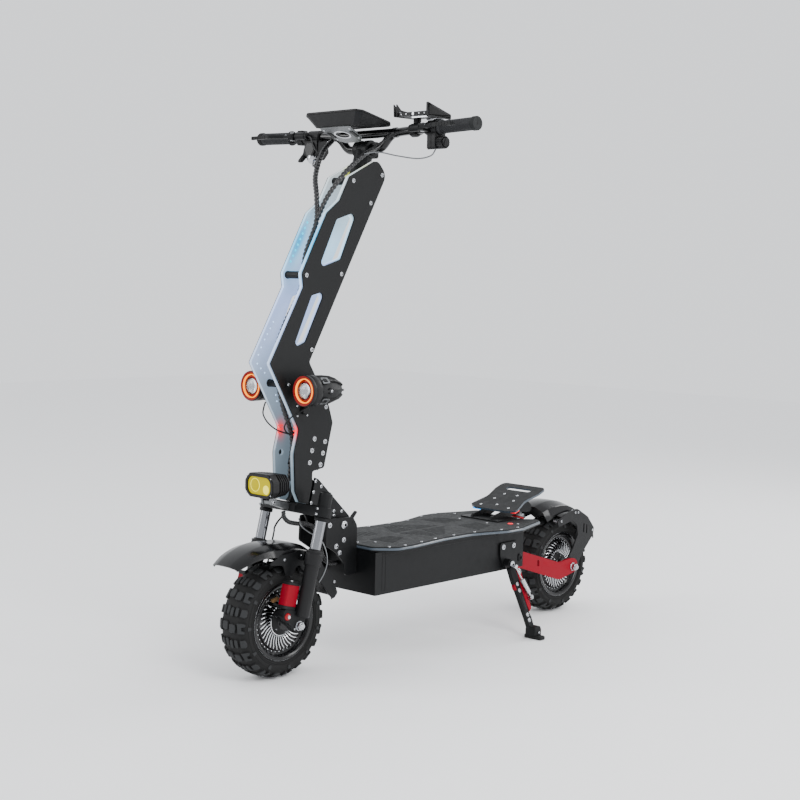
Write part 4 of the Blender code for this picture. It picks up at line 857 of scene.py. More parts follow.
def front_drop(part):
    """How far the front mudguard's lips lie below its crown."""
    return 0.014 + 0.022 * min(part / 0.35, 1) - 0.014 * max(part - 0.6, 0) / 0.4


def front_half(part):
    """Half the front mudguard's width."""
    return 0.05 + 0.012 * min(part / 0.25, 1)


guard("front_mudguard", FRONT, (radians(43.5), radians(166)), front_ridge, front_drop, front_half,
    "fork_lowers", "front_fender", front_details)


def rear_details(made):
    """Side plates that carry the rear mudguard on the axle, their spacers and bolts."""
    plate = rounded(mm((552, 156, 8), (586, 196, 20), (610, 236, 12), (604, 268, 15), (578, 283, 20),
        (512, 270, 6), (504, 288, 8), (540, 306, 30), (604, 318, 20), (660, 288, 20), (694, 250, 6),
        (690, 228, 8), (650, 190, 20), (600, 128, 20), (568, 122, 12), (552, 132, 10)), 6)
    slots = [shifted(rounded(mm((-2.8, -14, 2.5), (2.8, -16, 2.5), (2.8, 12, 2.5), (-2.8, 14, 2.5)), 4), y,
        z) for y, z in ((0.64, 0.256), (0.655, 0.251))]
    for sign in (1, -1):
        low, high = on_sides(0.0767, 0.0803, sign)
        made.plate(plate, low, high, POWDER, SIDE, slots + [circle(REAR.y, REAR.z, 0.007, 28)])
        for y, z in ((0.52, 0.286), (0.601, 0.306)):
            made.rod((sign * 0.0575, y, z), (sign * 0.0768, y, z), 0.0068, STEEL, 20)
    made.side_screws(((0.524, 0.287), (0.594, 0.3065), (0.609, 0.3055), (0.686, 0.243)), 0.0803, 0.004,
        0.0026)


def rear_ridge(part):
    """The rear mudguard's radius along its crown."""
    return 0.1785 + 0.0435 * max(0.55 - part, 0) / 0.55 - 0.003 * max(0.8 - part, 0)


def rear_drop(part):
    """How far the rear mudguard's lips lie below its crown."""
    return 0.014 + 0.042 * max(0.55 - part, 0) / 0.55


def rear_half(part):
    """Half the rear mudguard's width, the same all along."""
    return 0.062


guard("rear_mudguard", REAR, (radians(59), radians(156.5)), rear_ridge, rear_drop, rear_half, "swing_arm",
    "rear_fender", rear_details)


def cord(name, points, radius, finish, body, joined=None, replaces=(), wrap=0.0):
    """A cable held at both ends; wrap is its sleeve's pitch. A cable given joined rides on no body and stays
    fixed in place; the body and points in joined are not used.
    """
    step = wrap / 8 if wrap else 0.003
    route = smooth_route(points, step)
    made = Piece(name)
    count = 14 if wrap else 10
    loops = []
    across = None
    travelled = 0.0
    for k, p in enumerate(route):
        run = (route[min(k + 1, len(route) - 1)] - route[max(k - 1, 0)]).normalized()
        across = across or run.orthogonal().normalized()
        across = (across - run * across.dot(run)).normalized()
        other = run.cross(across)
        travelled += (p - route[max(k - 1, 0)]).length
        loop = []
        for j, turn in enumerate(turns(count)):
            size = radius
            if wrap:
                size *= 0.58 + 0.42 * abs(sin(pi * (travelled / wrap + j / count))) ** 0.6
            loop.append(p + (across * cos(turn) + other * sin(turn)) * size)
        loops.append(loop)
    made.rings(loops, finish)
    shown = made.done(None if joined else body, replaces, angle=60, slot="rubber")
    if joined:
        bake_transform(shown)
    return shown


# ------------------------------------------------------------------ stem
PANEL_IN, PANEL_OUT, PLATE_IN, PLATE_OUT = 0.0285, 0.0362, 0.0365, 0.0415
STEM_FRONT = mm((-267, 1308, 20), (-365, 1259, 10), (-399, 1197, 10), (-442, 1164, 10), (-524, 1011, 12),
    (-519, 977, 12), (-624.5, 789.5, 8), (-525.5, 623, 20), (-541, 563, 50), (-536, 469, 10))
STEM_BACK = mm((-479, 515, 6), (-439, 521.5, 8), (-411, 635, 12), (-425, 677, 12), (-496.5, 791, 10),
    (-396, 974, 80), (-232, 1271, 28))
WINDOWS = (((-0.41, 1.149, 0.01), (-0.336, 1.173, 0.012), (-0.392, 1.049, 0.012), (-0.47, 1.024, 0.01)),
    ((-0.492, 0.957, 0.008), (-0.444, 0.969, 0.01), (-0.51, 0.841, 0.01), (-0.553, 0.825, 0.01)))
PANEL_WINDOW = 0.94          # the panel's windows, as a share of the plate's
STEM_BOLTS = mm((-353, 1249), (-511, 1007), (-566, 737))
SPACER_BOLTS = mm((-249, 1270), (-289, 1196), (-390, 1012), (-489, 822), (-436, 676))
CLAMP_BOLTS = mm((-474, 597), (-437, 588), (-482, 568), (-444, 559), (-489, 538), (-452, 530))
CABLE_HOLE = (-0.5225, 0.5603)


def stem_outline(forward):
    """The side of the stem; forward moves its front edge out to show the panel's rim."""
    front = [(y - forward, z, r) for y, z, r in STEM_FRONT]
    feet = [steer(0, -0.026 - forward, CROWN_TOP + 0.002), steer(0, 0.004, CROWN_TOP + 0.002),
        steer(0, 0.004, 0.35)]
    return rounded(front + [(p.y, p.z, 0) for p in feet] + list(STEM_BACK), 6)


def window_holes(share):
    """The two window holes, scaled about their middles."""
    holes = []
    for window in WINDOWS:
        y0, z0 = (sum(corner[k] for corner in window) / 4 for k in (0, 1))
        holes.append(rounded([(y0 + (y - y0) * share, z0 + (z - z0) * share, r) for y, z, r in window], 6))
    return holes


def led_dots(made, sign):
    """The small lamps set in the panel's inner face, in their rows."""
    rows = [(Vector((-0.4456, 1.1402)).lerp(Vector((-0.5007, 1.0404)), k / 7), 0.0034, CYAN)
        for k in range(8)]
    rows += [(Vector((y, z)), 0.0022, PALE) for y, z in ((-0.556, 0.889), (-0.5658, 0.873),
        (-0.5752, 0.859), (-0.5838, 0.8456), (-0.595, 0.826), (-0.604, 0.808), (-0.6069, 0.7861),
        (-0.595, 0.774), (-0.5821, 0.7626), (-0.544, 0.706), (-0.54, 0.69))]
    rows += [(Vector((y, z)), 0.0036, LIME) for y, z in ((-0.2934, 1.2816), (-0.3132, 1.2684))]
    rows += [(Vector((-0.5265 + 0.006 * a, 0.6195 + 0.009 * b)), 0.0022, RED_LED) for a in (-1, 0, 1)
        for b in (-1, 0, 1)]
    for spot, size, finish in rows:
        made.lathe(((size, -0.0004), (0.85 * size, 0.0005), (0.4 * size, 0.0009)),
            Vector((sign * PANEL_IN, *spot)), -X * sign, finish, 14)


for side, sign in SIDES:
    low, high = on_sides(PLATE_IN, PLATE_OUT, sign)
    plate = Piece("stem_side_plate_" + side)
    lamp_hole = circle(LAMP.y, LAMP.z, 0.0088, 28)
    plate.plate(stem_outline(0), low, high, BLACK, SIDE, window_holes(1) + [lamp_hole])
    plate.done("steering", ("stem_plate_" + side,), bevel=0.0005, slot="black_alloy")
    low, high = on_sides(PANEL_IN, PANEL_OUT, sign)
    panel = Piece("light_panel_acrylic_" + side)
    panel.plate(stem_outline(0.003), low, high, ACRYLIC, SIDE, window_holes(PANEL_WINDOW) + [lamp_hole,
        circle(*CABLE_HOLE, 0.008, 28)], rim=EDGE)
    led_dots(panel, sign)
    panel.done("steering", ("light_panel_" + side,), slot="clear_panel")

bolts = Piece("stem_bolts")
bolts.side_screws(STEM_BOLTS + SPACER_BOLTS, PLATE_OUT, 0.0038, 0.0028, washer=True)
bolts.side_screws(CLAMP_BOLTS, PLATE_OUT, 0.0042, 0.003, washer=True)
bolts.done("steering", slot="bright_steel")

INSIDE = PANEL_IN - 0.0003


def spacer(made, y, z, radius):
    """A turned spacer between the panels, with a collar at each end."""
    made.lathe(((radius * 1.06, 0), (radius * 1.06, 0.0024), (radius, 0.0032),
        (radius, 2 * INSIDE - 0.0032), (radius * 1.06, 2 * INSIDE - 0.0024), (radius * 1.06, 2 * INSIDE)),
        Vector((-INSIDE, y, z)), X, BLACK, 36)


spacers = Piece("stem_spacers")
for y, z in STEM_BOLTS:
    spacer(spacers, y, z, 0.0094)
for y, z in SPACER_BOLTS:
    spacer(spacers, y, z, 0.0055)
spacers.done("steering", ("cross_rod_upper", "cross_rod_middle"), slot="black_alloy")
dress(("stem_clamp_block",), BLACK, 0.0015, 3)

BAR_CENTRE, BAR_BEND, BAR_END = Vector((0, -0.272, 1.335)), Vector((0.115, -0.272, 1.374)), Vector((0.386,
    -0.285, 1.38))
BAR_RUN = (BAR_END - BAR_BEND).normalized()
BAR_R, BRACE_X = 0.0111, 0.118


def bar_at(x):
    """The middle of the bar at a distance x from the scooter's middle plane."""
    return BAR_BEND + BAR_RUN * ((abs(x) - BAR_BEND.x) / BAR_RUN.x)


def on_side(place, sign):
    """The same place on the left (1) or right (-1) side."""
    return Vector((sign * abs(place.x), place.y, place.z))


def bar_tube(made, start_x, end_x, radius, sign, finish, count=40):
    """A round piece about the bar between two distances from the middle."""
    return made.rod(on_side(bar_at(start_x), sign), on_side(bar_at(end_x), sign), radius, finish, count,
        0.0012)


head = Piece("stem_top_column")
foot = Vector((0, -0.296, 1.262))
head.lathe(mm((22.5, 0), (24, 1.5), (24, 20), (22.8, 21.5), (22.8, 24), (24, 25.5), (24, 68), (22.5, 70)),
    foot, BAR_CENTRE - foot, BLACK, 56)
head.lathe(mm((15, -25.5), (22.5, -25.5), (24, -24), (24, -7.5), (22.6, -6), (22.6, 6), (24, 7.5),
    (24, 24), (22.5, 25.5), (15, 25.5)), BAR_CENTRE, X, BLACK, 56, closed=True)
cap = oblong(-0.0245, -0.0215, 0.0245, 0.0215, 0.006, 5)
head.plate([Vector((p.x, p.y + BAR_CENTRE.z)) for p in cap], -BAR_CENTRE.y - 0.0262, -BAR_CENTRE.y - 0.018,
    BLACK, FACE)
for x in (-0.0165, 0.0165):
    for z in (-0.0145, 0.0145):
        head.screw(BAR_CENTRE + Vector((x, 0.0262, z)), Y, 0.0042, STEEL, 0.003)
head.side_screws(((-0.306, 1.283), (-0.284, 1.297)), 0.0232, 0.004, 0.0022)
head.done("steering", ("stem_top_block",), bevel=0.0006, slot="black_alloy")


# ------------------------------------------------------------------ handlebar
def handlebar():
    """The gloss riser bar, its thick middle, cross brace and collars."""
    half = [Vector((0.036, BAR_CENTRE.y, BAR_CENTRE.z)), Vector((0.062, BAR_CENTRE.y, 1.3395)),
        Vector((0.09, BAR_CENTRE.y, 1.3645)), bar_at(0.122), bar_at(0.25), BAR_END]
    route = smooth_route([on_side(p, -1) for p in half[::-1]] + half, 0.006)
    made = Piece("handlebar_riser").tube(route, BAR_R, GLOSS, 28)
    made.lathe(mm((11.8, 0), (14.5, 6), (14.5, 60), (11.8, 66)), BAR_CENTRE - X * 0.033, X, GLOSS, 40)
    made.tube(smooth_route([on_side(bar_at(BRACE_X), -1), bar_at(BRACE_X)], 0.02), BAR_R, GLOSS, 28)
    for sign in (1, -1):
        run = (bar_at(BRACE_X) - on_side(bar_at(BRACE_X), -1)).normalized() * sign
        made.lathe(mm((12.8, -6), (13.2, -4), (13.2, 4), (12.8, 6)), on_side(bar_at(0.108), sign), run,
            GLOSS, 36)
    return made.done("steering", ("handlebar",), slot="black_alloy")


def grip(side, sign):
    """A rubber grip: inner flange, rings of ribs, a smooth stretch and a paler end cap."""
    start = on_side(bar_at(0.268), sign)
    run = (on_side(BAR_END, sign) - start).normalized()
    length = (on_side(BAR_END, sign) - start).length + 0.006
    made = Piece("grip_sleeve_" + side)
    profile = [(0.0125, 0.0), (0.019, 0.0), (0.0195, 0.001), (0.0195, 0.005), (0.018, 0.0068),
        (0.0158, 0.008)]
    along = 0.012
    while along < length - 0.022:
        profile += [(0.0154, along), (0.016, along + 0.0006), (0.016, along + 0.003),
            (0.0154, along + 0.0036)]
        along += 0.0046
    profile += [(0.0156, length - 0.015), (0.0125, length - 0.015)]
    made.lathe(profile, start, run, GRIP, 56, closed=True)
    made.lathe(((0.0125, length - 0.0148), (0.0166, length - 0.0146), (0.0175, length - 0.0125),
        (0.0175, length - 0.0022), (0.0166, length - 0.0006), (0.011, length), (0.006, length - 0.0008)),
        start, run, RUBBER if side == "right" else MAT, 48)
    made.screw(start + run * (length - 0.001), run, 0.004, PLASTIC, 0.0008)
    return made.done("steering", ("grip_" + side,), angle=35, slot="rubber")


PERCH_X, PIN_AHEAD = 0.236, Vector((0, -0.034, 0))


def perch(made, sign):
    """The lever's split clamp, forked lug and pin, with the hydraulic cylinder and its reservoir."""
    middle = on_side(bar_at(PERCH_X), sign)
    pin = middle + PIN_AHEAD
    bar_tube(made, PERCH_X - 0.013, PERCH_X + 0.013, 0.0172, sign, BLACK)
    for turn in (-1, 1):
        low, high = sorted((middle.x - 0.009, middle.x + 0.009))
        z = middle.z + turn * 0.015
        made.box((low, middle.y - 0.006, z - 0.0045), (high, middle.y + 0.014, z + 0.0045), BLACK)
        made.screw(Vector((middle.x, middle.y + 0.014, z)), Y, 0.0034, STEEL, 0.0026)
    for low in (-0.0095, 0.0048):
        near, far = sorted((pin.x - 0.009, pin.x + 0.009))
        made.box((near, pin.y - 0.007, pin.z + low), (far, pin.y + 0.026, pin.z + low + 0.0047), BLACK)
    made.lathe(mm((3, -10.5), (5.2, -10.5), (5.2, -8.8), (3, -8.8), (3, 8.8), (5.2, 8.8), (5.2, 11.2),
        (3, 11.2)), pin, Z, STEEL, 20)
    inner = Vector((sign * 0.186, pin.y + 0.01, pin.z + 0.001))
    outer = Vector((sign * 0.2265, pin.y + 0.006, pin.z + 0.001))
    made.lathe(mm((7, 0), (9.2, 1), (9.2, 6), (8.2, 7.5), (10, 8.5), (10, 40)), inner, outer - inner,
        BLACK, 32)


def levers():
    """Both lever blades: round-edged, with a long flat finger face and a ball end."""
    for side, sign in SIDES:
        pin = on_side(bar_at(PERCH_X), sign) + PIN_AHEAD
        blade = rounded(mm((-8, 6, 4), (-8, -8, 5), (20, -14, 20), (60, -34, 30), (120, -34, 3),
            (128, -30, 3), (120, -26, 3), (62, -26, 30), (26, -4, 20), (10, 6, 4)), 6)
        name = "brake_lever_" + side
        made = Piece(name + "_blade")
        outline = [Vector((pin.x + sign * p.x, pin.y + p.y)) for p in blade]
        made.plate(outline, pin.z - 0.0045, pin.z + 0.0045, BLACK, holes=[circle(pin.x, pin.y, 0.0033, 20)])
        made.rod(pin + Vector((sign * 0.1245, -0.03, -0.0047)),
            pin + Vector((sign * 0.1245, -0.03, 0.0047)), 0.005, BLACK, 24, 0.0015)
        for k in range(5):
            spot = pin + Vector((sign * (0.074 + 0.009 * k), -0.0338, 0))
            made.rod(spot - Z * 0.004, spot + Z * 0.004, 0.0012, PLASTIC, 10, 0.0004)
        made.screw(pin + Vector((sign * 0.016, -0.0085, 0.0045)), Z, 0.0026, STEEL, 0.0016)
        made.done(name, (name,), bevel=0.0022, steps=3, slot="black_alloy")


handlebar()
for side, sign in SIDES:
    grip(side, sign)
levers()

left = Piece("switch_cluster_left")
bar_tube(left, 0.2515, 0.2665, 0.0215, 1, PLASTIC)
perch(left, 1)
middle = bar_at(0.259)
pod = shifted(rounded(mm((-20, -55, 6), (16, -50, 10), (20, -10, 6), (-20, -10, 6)), 6), middle.y, middle.z)
left.plate(pod, 0.24, 0.2528, PLASTIC, SIDE).plate(inset(pod, 0.0008), 0.2528, 0.2538, RUBBER, SIDE)
left.plate(pod, 0.2538, 0.2662, PLASTIC, SIDE)
knob = [Vector((middle.y - 0.002 + r * cos(a), middle.z - 0.037 + 0.92 * r * sin(a)))
    for a, r in ((2 * pi * k / 80, 0.0165 + 0.0009 * cos(20 * 2 * pi * k / 80)) for k in range(80))]
left.plate(knob, 0.2662, 0.285, PLASTIC, SIDE).plate(inset(knob, 0.003), 0.285, 0.2872, GLOSS, SIDE)
switch = Vector((0.245, middle.y + 0.0172, middle.z - 0.026))
left.box(switch - Vector((0.004, 0.0, 0.006)), switch + Vector((0.004, 0.003, 0.006)), GLOSS)
for z in (-0.016, -0.046):
    left.screw(Vector((0.24, middle.y - 0.012, middle.z + z)), -X, 0.0024, STEEL, 0.0014)
left.done("steering", ("switch_pod_left",), bevel=0.001, slot="black_plastic")
button = Vector((0.258, middle.y + 0.01, middle.z - 0.034))
horn = Piece("horn_button_cap")
horn.lathe(mm((4.2, 3), (4.8, 3.6), (4.8, 11.6), (4.3, 12.5), (3, 12.3), (1.4, 12)), button, Y, RED_GLOSS,
    32)
horn.done("horn_button", ("horn_button",), slot="black_plastic")

throttle = Piece("throttle_cluster_right")
bar_tube(throttle, 0.16, 0.2, 0.018, -1, PLASTIC)
bar_tube(throttle, 0.2, 0.222, 0.015, -1, PLASTIC)
perch(throttle, -1)
place = bar_at(0.18)
pod = rounded([(place.y - 0.022, place.z - 0.052, 0.010), (place.y + 0.006, place.z - 0.062, 0.006),
    (place.y + 0.024, place.z - 0.040, 0.006), (place.y + 0.018, place.z - 0.008, 0.004),
    (place.y - 0.022, place.z - 0.008, 0.004)], 6)
throttle.plate(pod, -0.203, -0.156, PLASTIC, SIDE).plate(inset(pod, 0.004), -0.156, -0.1535, GLOSS, SIDE)
DIAL = Vector((-0.1795, place.z - 0.033))
hexagon = [DIAL + Vector((0.0215 * cos(turn), 0.0225 * sin(turn))) for turn in turns(6)]
throttle.plate(rounded([(p.x, p.y, 0.004) for p in hexagon], 4), -place.y + 0.02, -place.y + 0.0265,
    PLASTIC, FACE)
throttle.plate(rounded([(*(DIAL + (p - DIAL) * 0.8), 0.003) for p in hexagon], 4), -place.y + 0.0265,
    -place.y + 0.0272, SCREEN, FACE)
trigger_pin = Vector((-0.203, place.y - 0.006, place.z - 0.034))
throttle.rod((-0.215, trigger_pin.y, trigger_pin.z), (-0.201, trigger_pin.y, trigger_pin.z), 0.0032, STEEL,
    20)
bell = Vector((-0.178, place.y - 0.012, place.z - 0.056))
throttle.lathe(mm((16, 0), (16.8, 1.5), (16, 6), (13.5, 10.5), (9, 13.8), (4, 15)), bell,
    Vector((0.1, -0.5, -0.86)), CHROME, 48)
throttle.done("steering", ("throttle_pod_right",), bevel=0.001, slot="black_plastic")

paddle = shifted(rounded(mm((-7, 7, 6), (7, 7, 6), (6, -8, 6), (-22, -34, 4), (-30, -30, 4),
    (-10, -8, 10)), 6), trigger_pin.y, trigger_pin.z)
trigger = Piece("throttle_paddle")
trigger.plate(paddle, -0.2145, -0.2035, PLASTIC, SIDE, [circle(trigger_pin.y, trigger_pin.z, 0.0036, 20)])
for k in range(4):
    spot = trigger_pin + Vector((-0.006, -0.0165 - 0.0038 * k, -0.0175 - 0.0044 * k))
    trigger.rod(spot - X * 0.005, spot + X * 0.005, 0.001, RUBBER, 8, 0.0003)
trigger.done("throttle_trigger", ("throttle_trigger",), bevel=0.0012, slot="black_plastic")


# ------------------------------------------------------------------ dashboard and phone clamp
def dashboard():
    """The display housing: leaning lid, tapering underside, seam, glass, screws and bright plate."""
    base = bar_at(BRACE_X).z + BAR_R + 0.0003
    wide = rounded(mm((-104, -386, 6), (-88, -398, 6), (88, -398, 6), (104, -386, 6), (104, -288, 6),
        (92, -274, 6), (-92, -274, 6), (-104, -288, 6)), 4)

    def lid(shrink, drop, by=0.0):
        """The lid's outline, shrunk and lowered on its slope."""
        points = []
        for p in inset(wide, by):
            y = -0.336 + (p.y + 0.336) * shrink
            points.append(Vector((p.x * shrink, y, base + 0.0375 - 0.026 * (y + 0.398) / 0.124 - drop)))
        return points

    low = [Vector((p.x * 0.74, -0.344 + (p.y + 0.336) * 0.62, base)) for p in wide]
    made = Piece("dashboard_housing")
    made.rings([low, lid(0.965, 0.0085), lid(1, 0.0062)], PLASTIC)
    made.rings([lid(1, 0.0066, 0.0012), lid(1, 0.0046, 0.0012)], RUBBER)
    made.rings([lid(1, 0.005), lid(1, 0.0014), lid(0.985, 0)], PLASTIC)
    made.rings([lid(0.9, 0.0004), lid(0.9, -0.0008)], SCREEN)
    for x in (-0.07, 0.0, 0.07):
        made.screw(Vector((x, -0.3965, base + 0.0335)), -Y, 0.0018, STEEL, 0.001)
    for x in (-0.044, 0.044):
        made.screw(Vector((x, -0.3868, base + 0.015)), Vector((0, -0.84, -0.54)), 0.0022, STEEL, 0.0012)
    tilt = Matrix.Translation((0, -0.384, base - 0.0016)) @ Matrix.Rotation(radians(-24), 4, "X")
    tray = rounded(mm((-56, 0, 8), (56, 0, 8), (48, 56, 12), (28, 76, 8), (-28, 76, 8), (-48, 56, 12)), 5)
    oval = [Vector((0.022 * cos(2 * pi * k / 40), 0.034 + 0.014 * sin(2 * pi * k / 40))) for k in range(40)]
    made.plate(tray, -0.003, -0.0006, ALLOY, tilt, [oval])
    made.plate(inset(oval, -0.0045), -0.0042, -0.0028, CHROME, tilt, [oval])
    for sign in (1, -1):
        made.box((sign * 0.04 - 0.006, 0.022, -0.0044), (sign * 0.04 + 0.006, 0.048, -0.0028), PLASTIC,
            tilt)
    for x, y in ((-0.046, 0.01), (0.046, 0.01), (-0.038, 0.056), (0.038, 0.056)):
        made.screw(tilt @ Vector((x, y, -0.003)), tilt.to_3x3() @ -Z, 0.003, STEEL, 0.0018)
    return made.done("steering", ("dashboard",), bevel=0.0006, slot="black_plastic")


def phone_clamp():
    """The phone clamp: bar clamp, base with a bright rail, pointed inner claw and the sloping sliding jaw."""
    place = bar_at(0.2)
    top = place.z + 0.03
    made = Piece("phone_holder_clamp")
    base = shifted(rounded(mm((160, -45, 6), (260, -45, 4), (260, 32, 4), (160, 32, 6)), 5), 0, place.y)
    made.plate(base, top, top + 0.009, PLASTIC)
    claw = shifted(rounded(mm((-47, -1, 3), (-49, 31, 1), (-32, 16.5, 6), (26, 12, 4), (30, 0, 3)), 5),
        place.y, top)
    for low, high in ((0.148, 0.151), (0.1575, 0.1605)):
        made.plate(claw, low, high, PLASTIC, SIDE)
    for y, z in ((-0.04, 0.008), (-0.014, 0.006), (0.014, 0.006)):
        made.rod((0.1478, place.y + y, top + z), (0.164, place.y + y, top + z), 0.003, STEEL, 20)
    made.lathe(mm((11.8, -8), (16.5, -8), (17.2, -7), (17.2, 7), (16.5, 8), (11.8, 8)), bar_at(0.178),
        BAR_RUN, PLASTIC, 40, closed=True)
    made.lathe(mm((10, 0), (10, 15)), Vector((0.186, place.y, place.z + 0.0155)), Z, PLASTIC, 28)
    for y in (-0.03, -0.006, 0.016):
        made.box((0.164, place.y + y, top + 0.0088), (0.256, place.y + y + 0.008, top + 0.0102), RUBBER)
    made.box((0.209, place.y - 0.0448, top + 0.0008), (0.215, place.y - 0.0458, top + 0.0082), STEEL)
    for x in (0.172, 0.188, 0.232, 0.25):
        made.screw(Vector((x, place.y - 0.045, top + 0.0045)), -Y, 0.0022, STEEL, 0.0012)
    made.lathe(mm((6.2, 0), (7.8, 1), (7.8, 8), (6, 9.2)),
        Vector((0.178, place.y + 0.0165, place.z - 0.002)), Y, BLACK, 24)
    made.done("steering", ("phone_holder",), bevel=0.0007, slot="black_plastic")
    jaw = Piece("phone_jaw_sliding")
    plate = shifted(rounded(mm((-51, -6, 4), (-51, 30, 2), (-30, 24, 20), (36, 6, 3), (36, -6, 3)), 5),
        place.y, top)
    jaw.plate(plate, 0.2606, 0.266, PLASTIC, SIDE).plate(inset(plate, 0.0035), 0.2596, 0.2606, RUBBER, SIDE)
    jaw.plate(inset(plate, 0.005), 0.266, 0.2666, RUBBER, SIDE)
    for y in (-0.036, 0.018):
        jaw.box((0.2, place.y + y, top - 0.0048), (0.264, place.y + y + 0.01, top - 0.0012), STEEL)
    jaw.done("phone_jaw", ("phone_jaw",), bevel=0.0007, slot="black_plastic")


dashboard()
phone_clamp()


# ------------------------------------------------------------------ lamps
def round_lamp(side, sign):
    """A side lamp: bezel, glowing ring, halo, glass projector, ribbed body with framed cut-outs."""
    name = "side_lamp_" + side
    start = Vector((sign * 0.0975, -0.569, 0.725))
    made = Piece(name + "_housing")
    made.lathe(mm((26, 24), (32.2, 22), (32.2, 6), (37.2, 1), (38, 1.8), (38.5, 3), (38.5, 11),
        (37.6, 12.5), (38.5, 14), (38.5, 30), (37, 33), (35, 35)), start, Y, PLASTIC, 64)
    made.lathe(mm((30, 34), (35.2, 35), (34.5, 62), (30, 90), (18, 118), (6, 122)), start, Y, BLACK, 8)
    for turn in turns(8):
        away = Vector((cos(turn), 0, sin(turn)))
        where = axes(away, Y, away.cross(Y), start)
        rib = rounded(mm((27, 33, 0), (37.6, 33, 3), (37.2, 62, 10), (35.2, 84, 20), (29, 105, 20),
            (20, 121.5, 4), (15, 120, 0)), 3)
        made.plate(rib, -0.0026, 0.0026, PLASTIC, where)
    for turn in turns(4, 0.5):
        away = Vector((cos(turn), 0, sin(turn)))
        where = axes(Y, Y.cross(away), away, start)
        frame_edge = rounded(mm((38, -10.5, 3), (62, -8.5, 3), (62, 8.5, 3), (38, 10.5, 3)), 3)
        window = rounded(mm((43, -6, 2), (56, -5, 2), (56, 5, 2), (43, 6, 2)), 3)
        made.plate(frame_edge, 0.0352, 0.0374, ALLOY, where, [window])
    for turn in (0, pi):
        away = X * cos(turn)
        made.lathe(mm((8.5, 0), (8.5, 4), (7, 5.5), (3, 5.5)), start + away * 0.032 + Y * 0.062, away,
            PLASTIC, 28)
        made.screw(start + away * 0.0372 + Y * 0.062, away, 0.0036, STEEL, 0.0016)
    made.done(name, (name,), bevel=0.0003, slot="black_plastic")
    optics = Piece(name + "_optics")
    optics.lathe(mm((28.1, 4), (28.5, 1.6), (29.2, 1), (29.9, 1.6), (30.3, 4), (30.3, 8), (28.1, 8)),
        start, Y, RING, 72, closed=True)
    optics.lathe(mm((30.5, 6), (31.1, 3.4), (34.5, 1.2), (36.8, 0.6), (36.8, 1.4), (32.2, 6)), start, Y,
        HALO, 72, closed=True)
    optics.lathe(mm((27.4, 6.2), (22.5, 4), (21.2, 5), (21.2, 8), (27.4, 9)), start, Y, HALO, 64,
        closed=True)
    optics.lathe(mm((21, 4), (19.6, 12), (15, 17.5), (8, 20.5), (4, 21), (4, 22.5), (21, 22.5)), start, Y,
        BOWL, 56, closed=True)
    optics.done(name, slot="clear_panel")
    lens = Piece(name + "_lens")
    lens.lathe(mm((19.4, 9), (19.4, 5), (17.5, 2.6), (13, 0.8), (7, -0.3), (2, -0.6)), start, Y, GLASS, 56)
    lens.done(name, slot="clear_panel")
    neck = Piece(name + "_neck")
    neck.lathe(mm((8.8, 45.5), (14, 45.5), (14, 56), (12.8, 57.5), (12.8, 64), (14, 65.5), (14, 72),
        (8.8, 72)), Vector((0, LAMP.y, LAMP.z)), X * sign, BLACK, 36, closed=True)
    neck.done(name, bevel=0.0004)


for side, sign in SIDES:
    round_lamp(side, sign)

HEAD_MIDDLE = 0.486
face = rounded(mm((34, 456, 6), (52, 472, 9), (52, 498, 9), (36, 516, 8), (-36, 516, 8), (-52, 498, 9),
    (-52, 472, 9), (-34, 456, 6)), 5)


def lamp_face(share):
    """The headlamp's outline, scaled about its middle."""
    return [Vector((p.x * share, HEAD_MIDDLE + (p.y - HEAD_MIDDLE) * share)) for p in face]


RIM_BACK, RIM_FRONT, LENS_FACE = 0.608, 0.62, 0.6198   # distances ahead of the middle
FIN_PITCH = 0.0078
LAMP_SPOT = Vector((-0.015, -LENS_FACE, 0.487))
lamp = Piece("headlamp_housing")
opening = rounded(mm((43, 463, 18), (43, 508, 18), (-43, 508, 18), (-43, 463, 18)), 8)
lamp.plate(lamp_face(1), RIM_BACK, RIM_FRONT, PLASTIC, FACE, [opening]).plate(lamp_face(0.965), 0.6195,
    0.6222, PLASTIC, FACE, [opening])
lamp.plate(lamp_face(0.99), 0.599, RIM_BACK, PLASTIC, FACE).plate(lamp_face(0.74), 0.557, 0.599, PLASTIC,
    FACE)
for k in range(5):
    at = 0.5915 - FIN_PITCH * k
    lamp.plate(lamp_face(0.985 - 0.026 * k), at, at + 0.003, PLASTIC, FACE)
for x, z in ((-0.045, 0.507), (0.045, 0.507), (-0.045, 0.465), (0.045, 0.465)):
    lamp.screw(Vector((x * 0.97, -0.6222, z)), -Y, 0.0017, STEEL, 0.0008)
ear_y, ear_z = pivot("headlamp_tilt").y, pivot("headlamp_tilt").z
ear = rounded([(ear_y - 0.009, ear_z - 0.008, 0.006), (ear_y - 0.01, 0.466, 0), (ear_y + 0.012, 0.466, 0),
    (ear_y + 0.008, ear_z - 0.008, 0.006)], 5)
for sign in (1, -1):
    low, high = on_sides(0.0125, 0.0185, sign)
    lamp.plate(ear, low, high, ALLOY, SIDE)
    lamp.screw(Vector((sign * 0.0185, ear_y, ear_z)), X * sign, 0.005, STEEL, 0.003, washer=True)
lamp.done("headlamp", ("headlamp",), bevel=0.0006, slot="black_plastic")
lens = Piece("headlamp_lens")
lens.plate(inset(opening, 0.0006), RIM_BACK, 0.6185, YELLOW, FACE).plate(inset(opening, 0.004), 0.6185,
    RIM_FRONT, YELLOW, FACE)
lens.lathe(mm((15, 0), (16, 1.6), (17.2, 0)), LAMP_SPOT, -Y, YELLOW_HOT, 44)
lens.lathe(mm((12.5, 0), (11, 3), (7, 5), (2.5, 5.8)), LAMP_SPOT, -Y, YELLOW, 40)
lens.lathe(mm((11.5, 0), (9.5, 1), (6, 2), (2, 2.4)), Vector((0.025, -LENS_FACE, 0.478)), -Y, YELLOW_HOT,
    36)
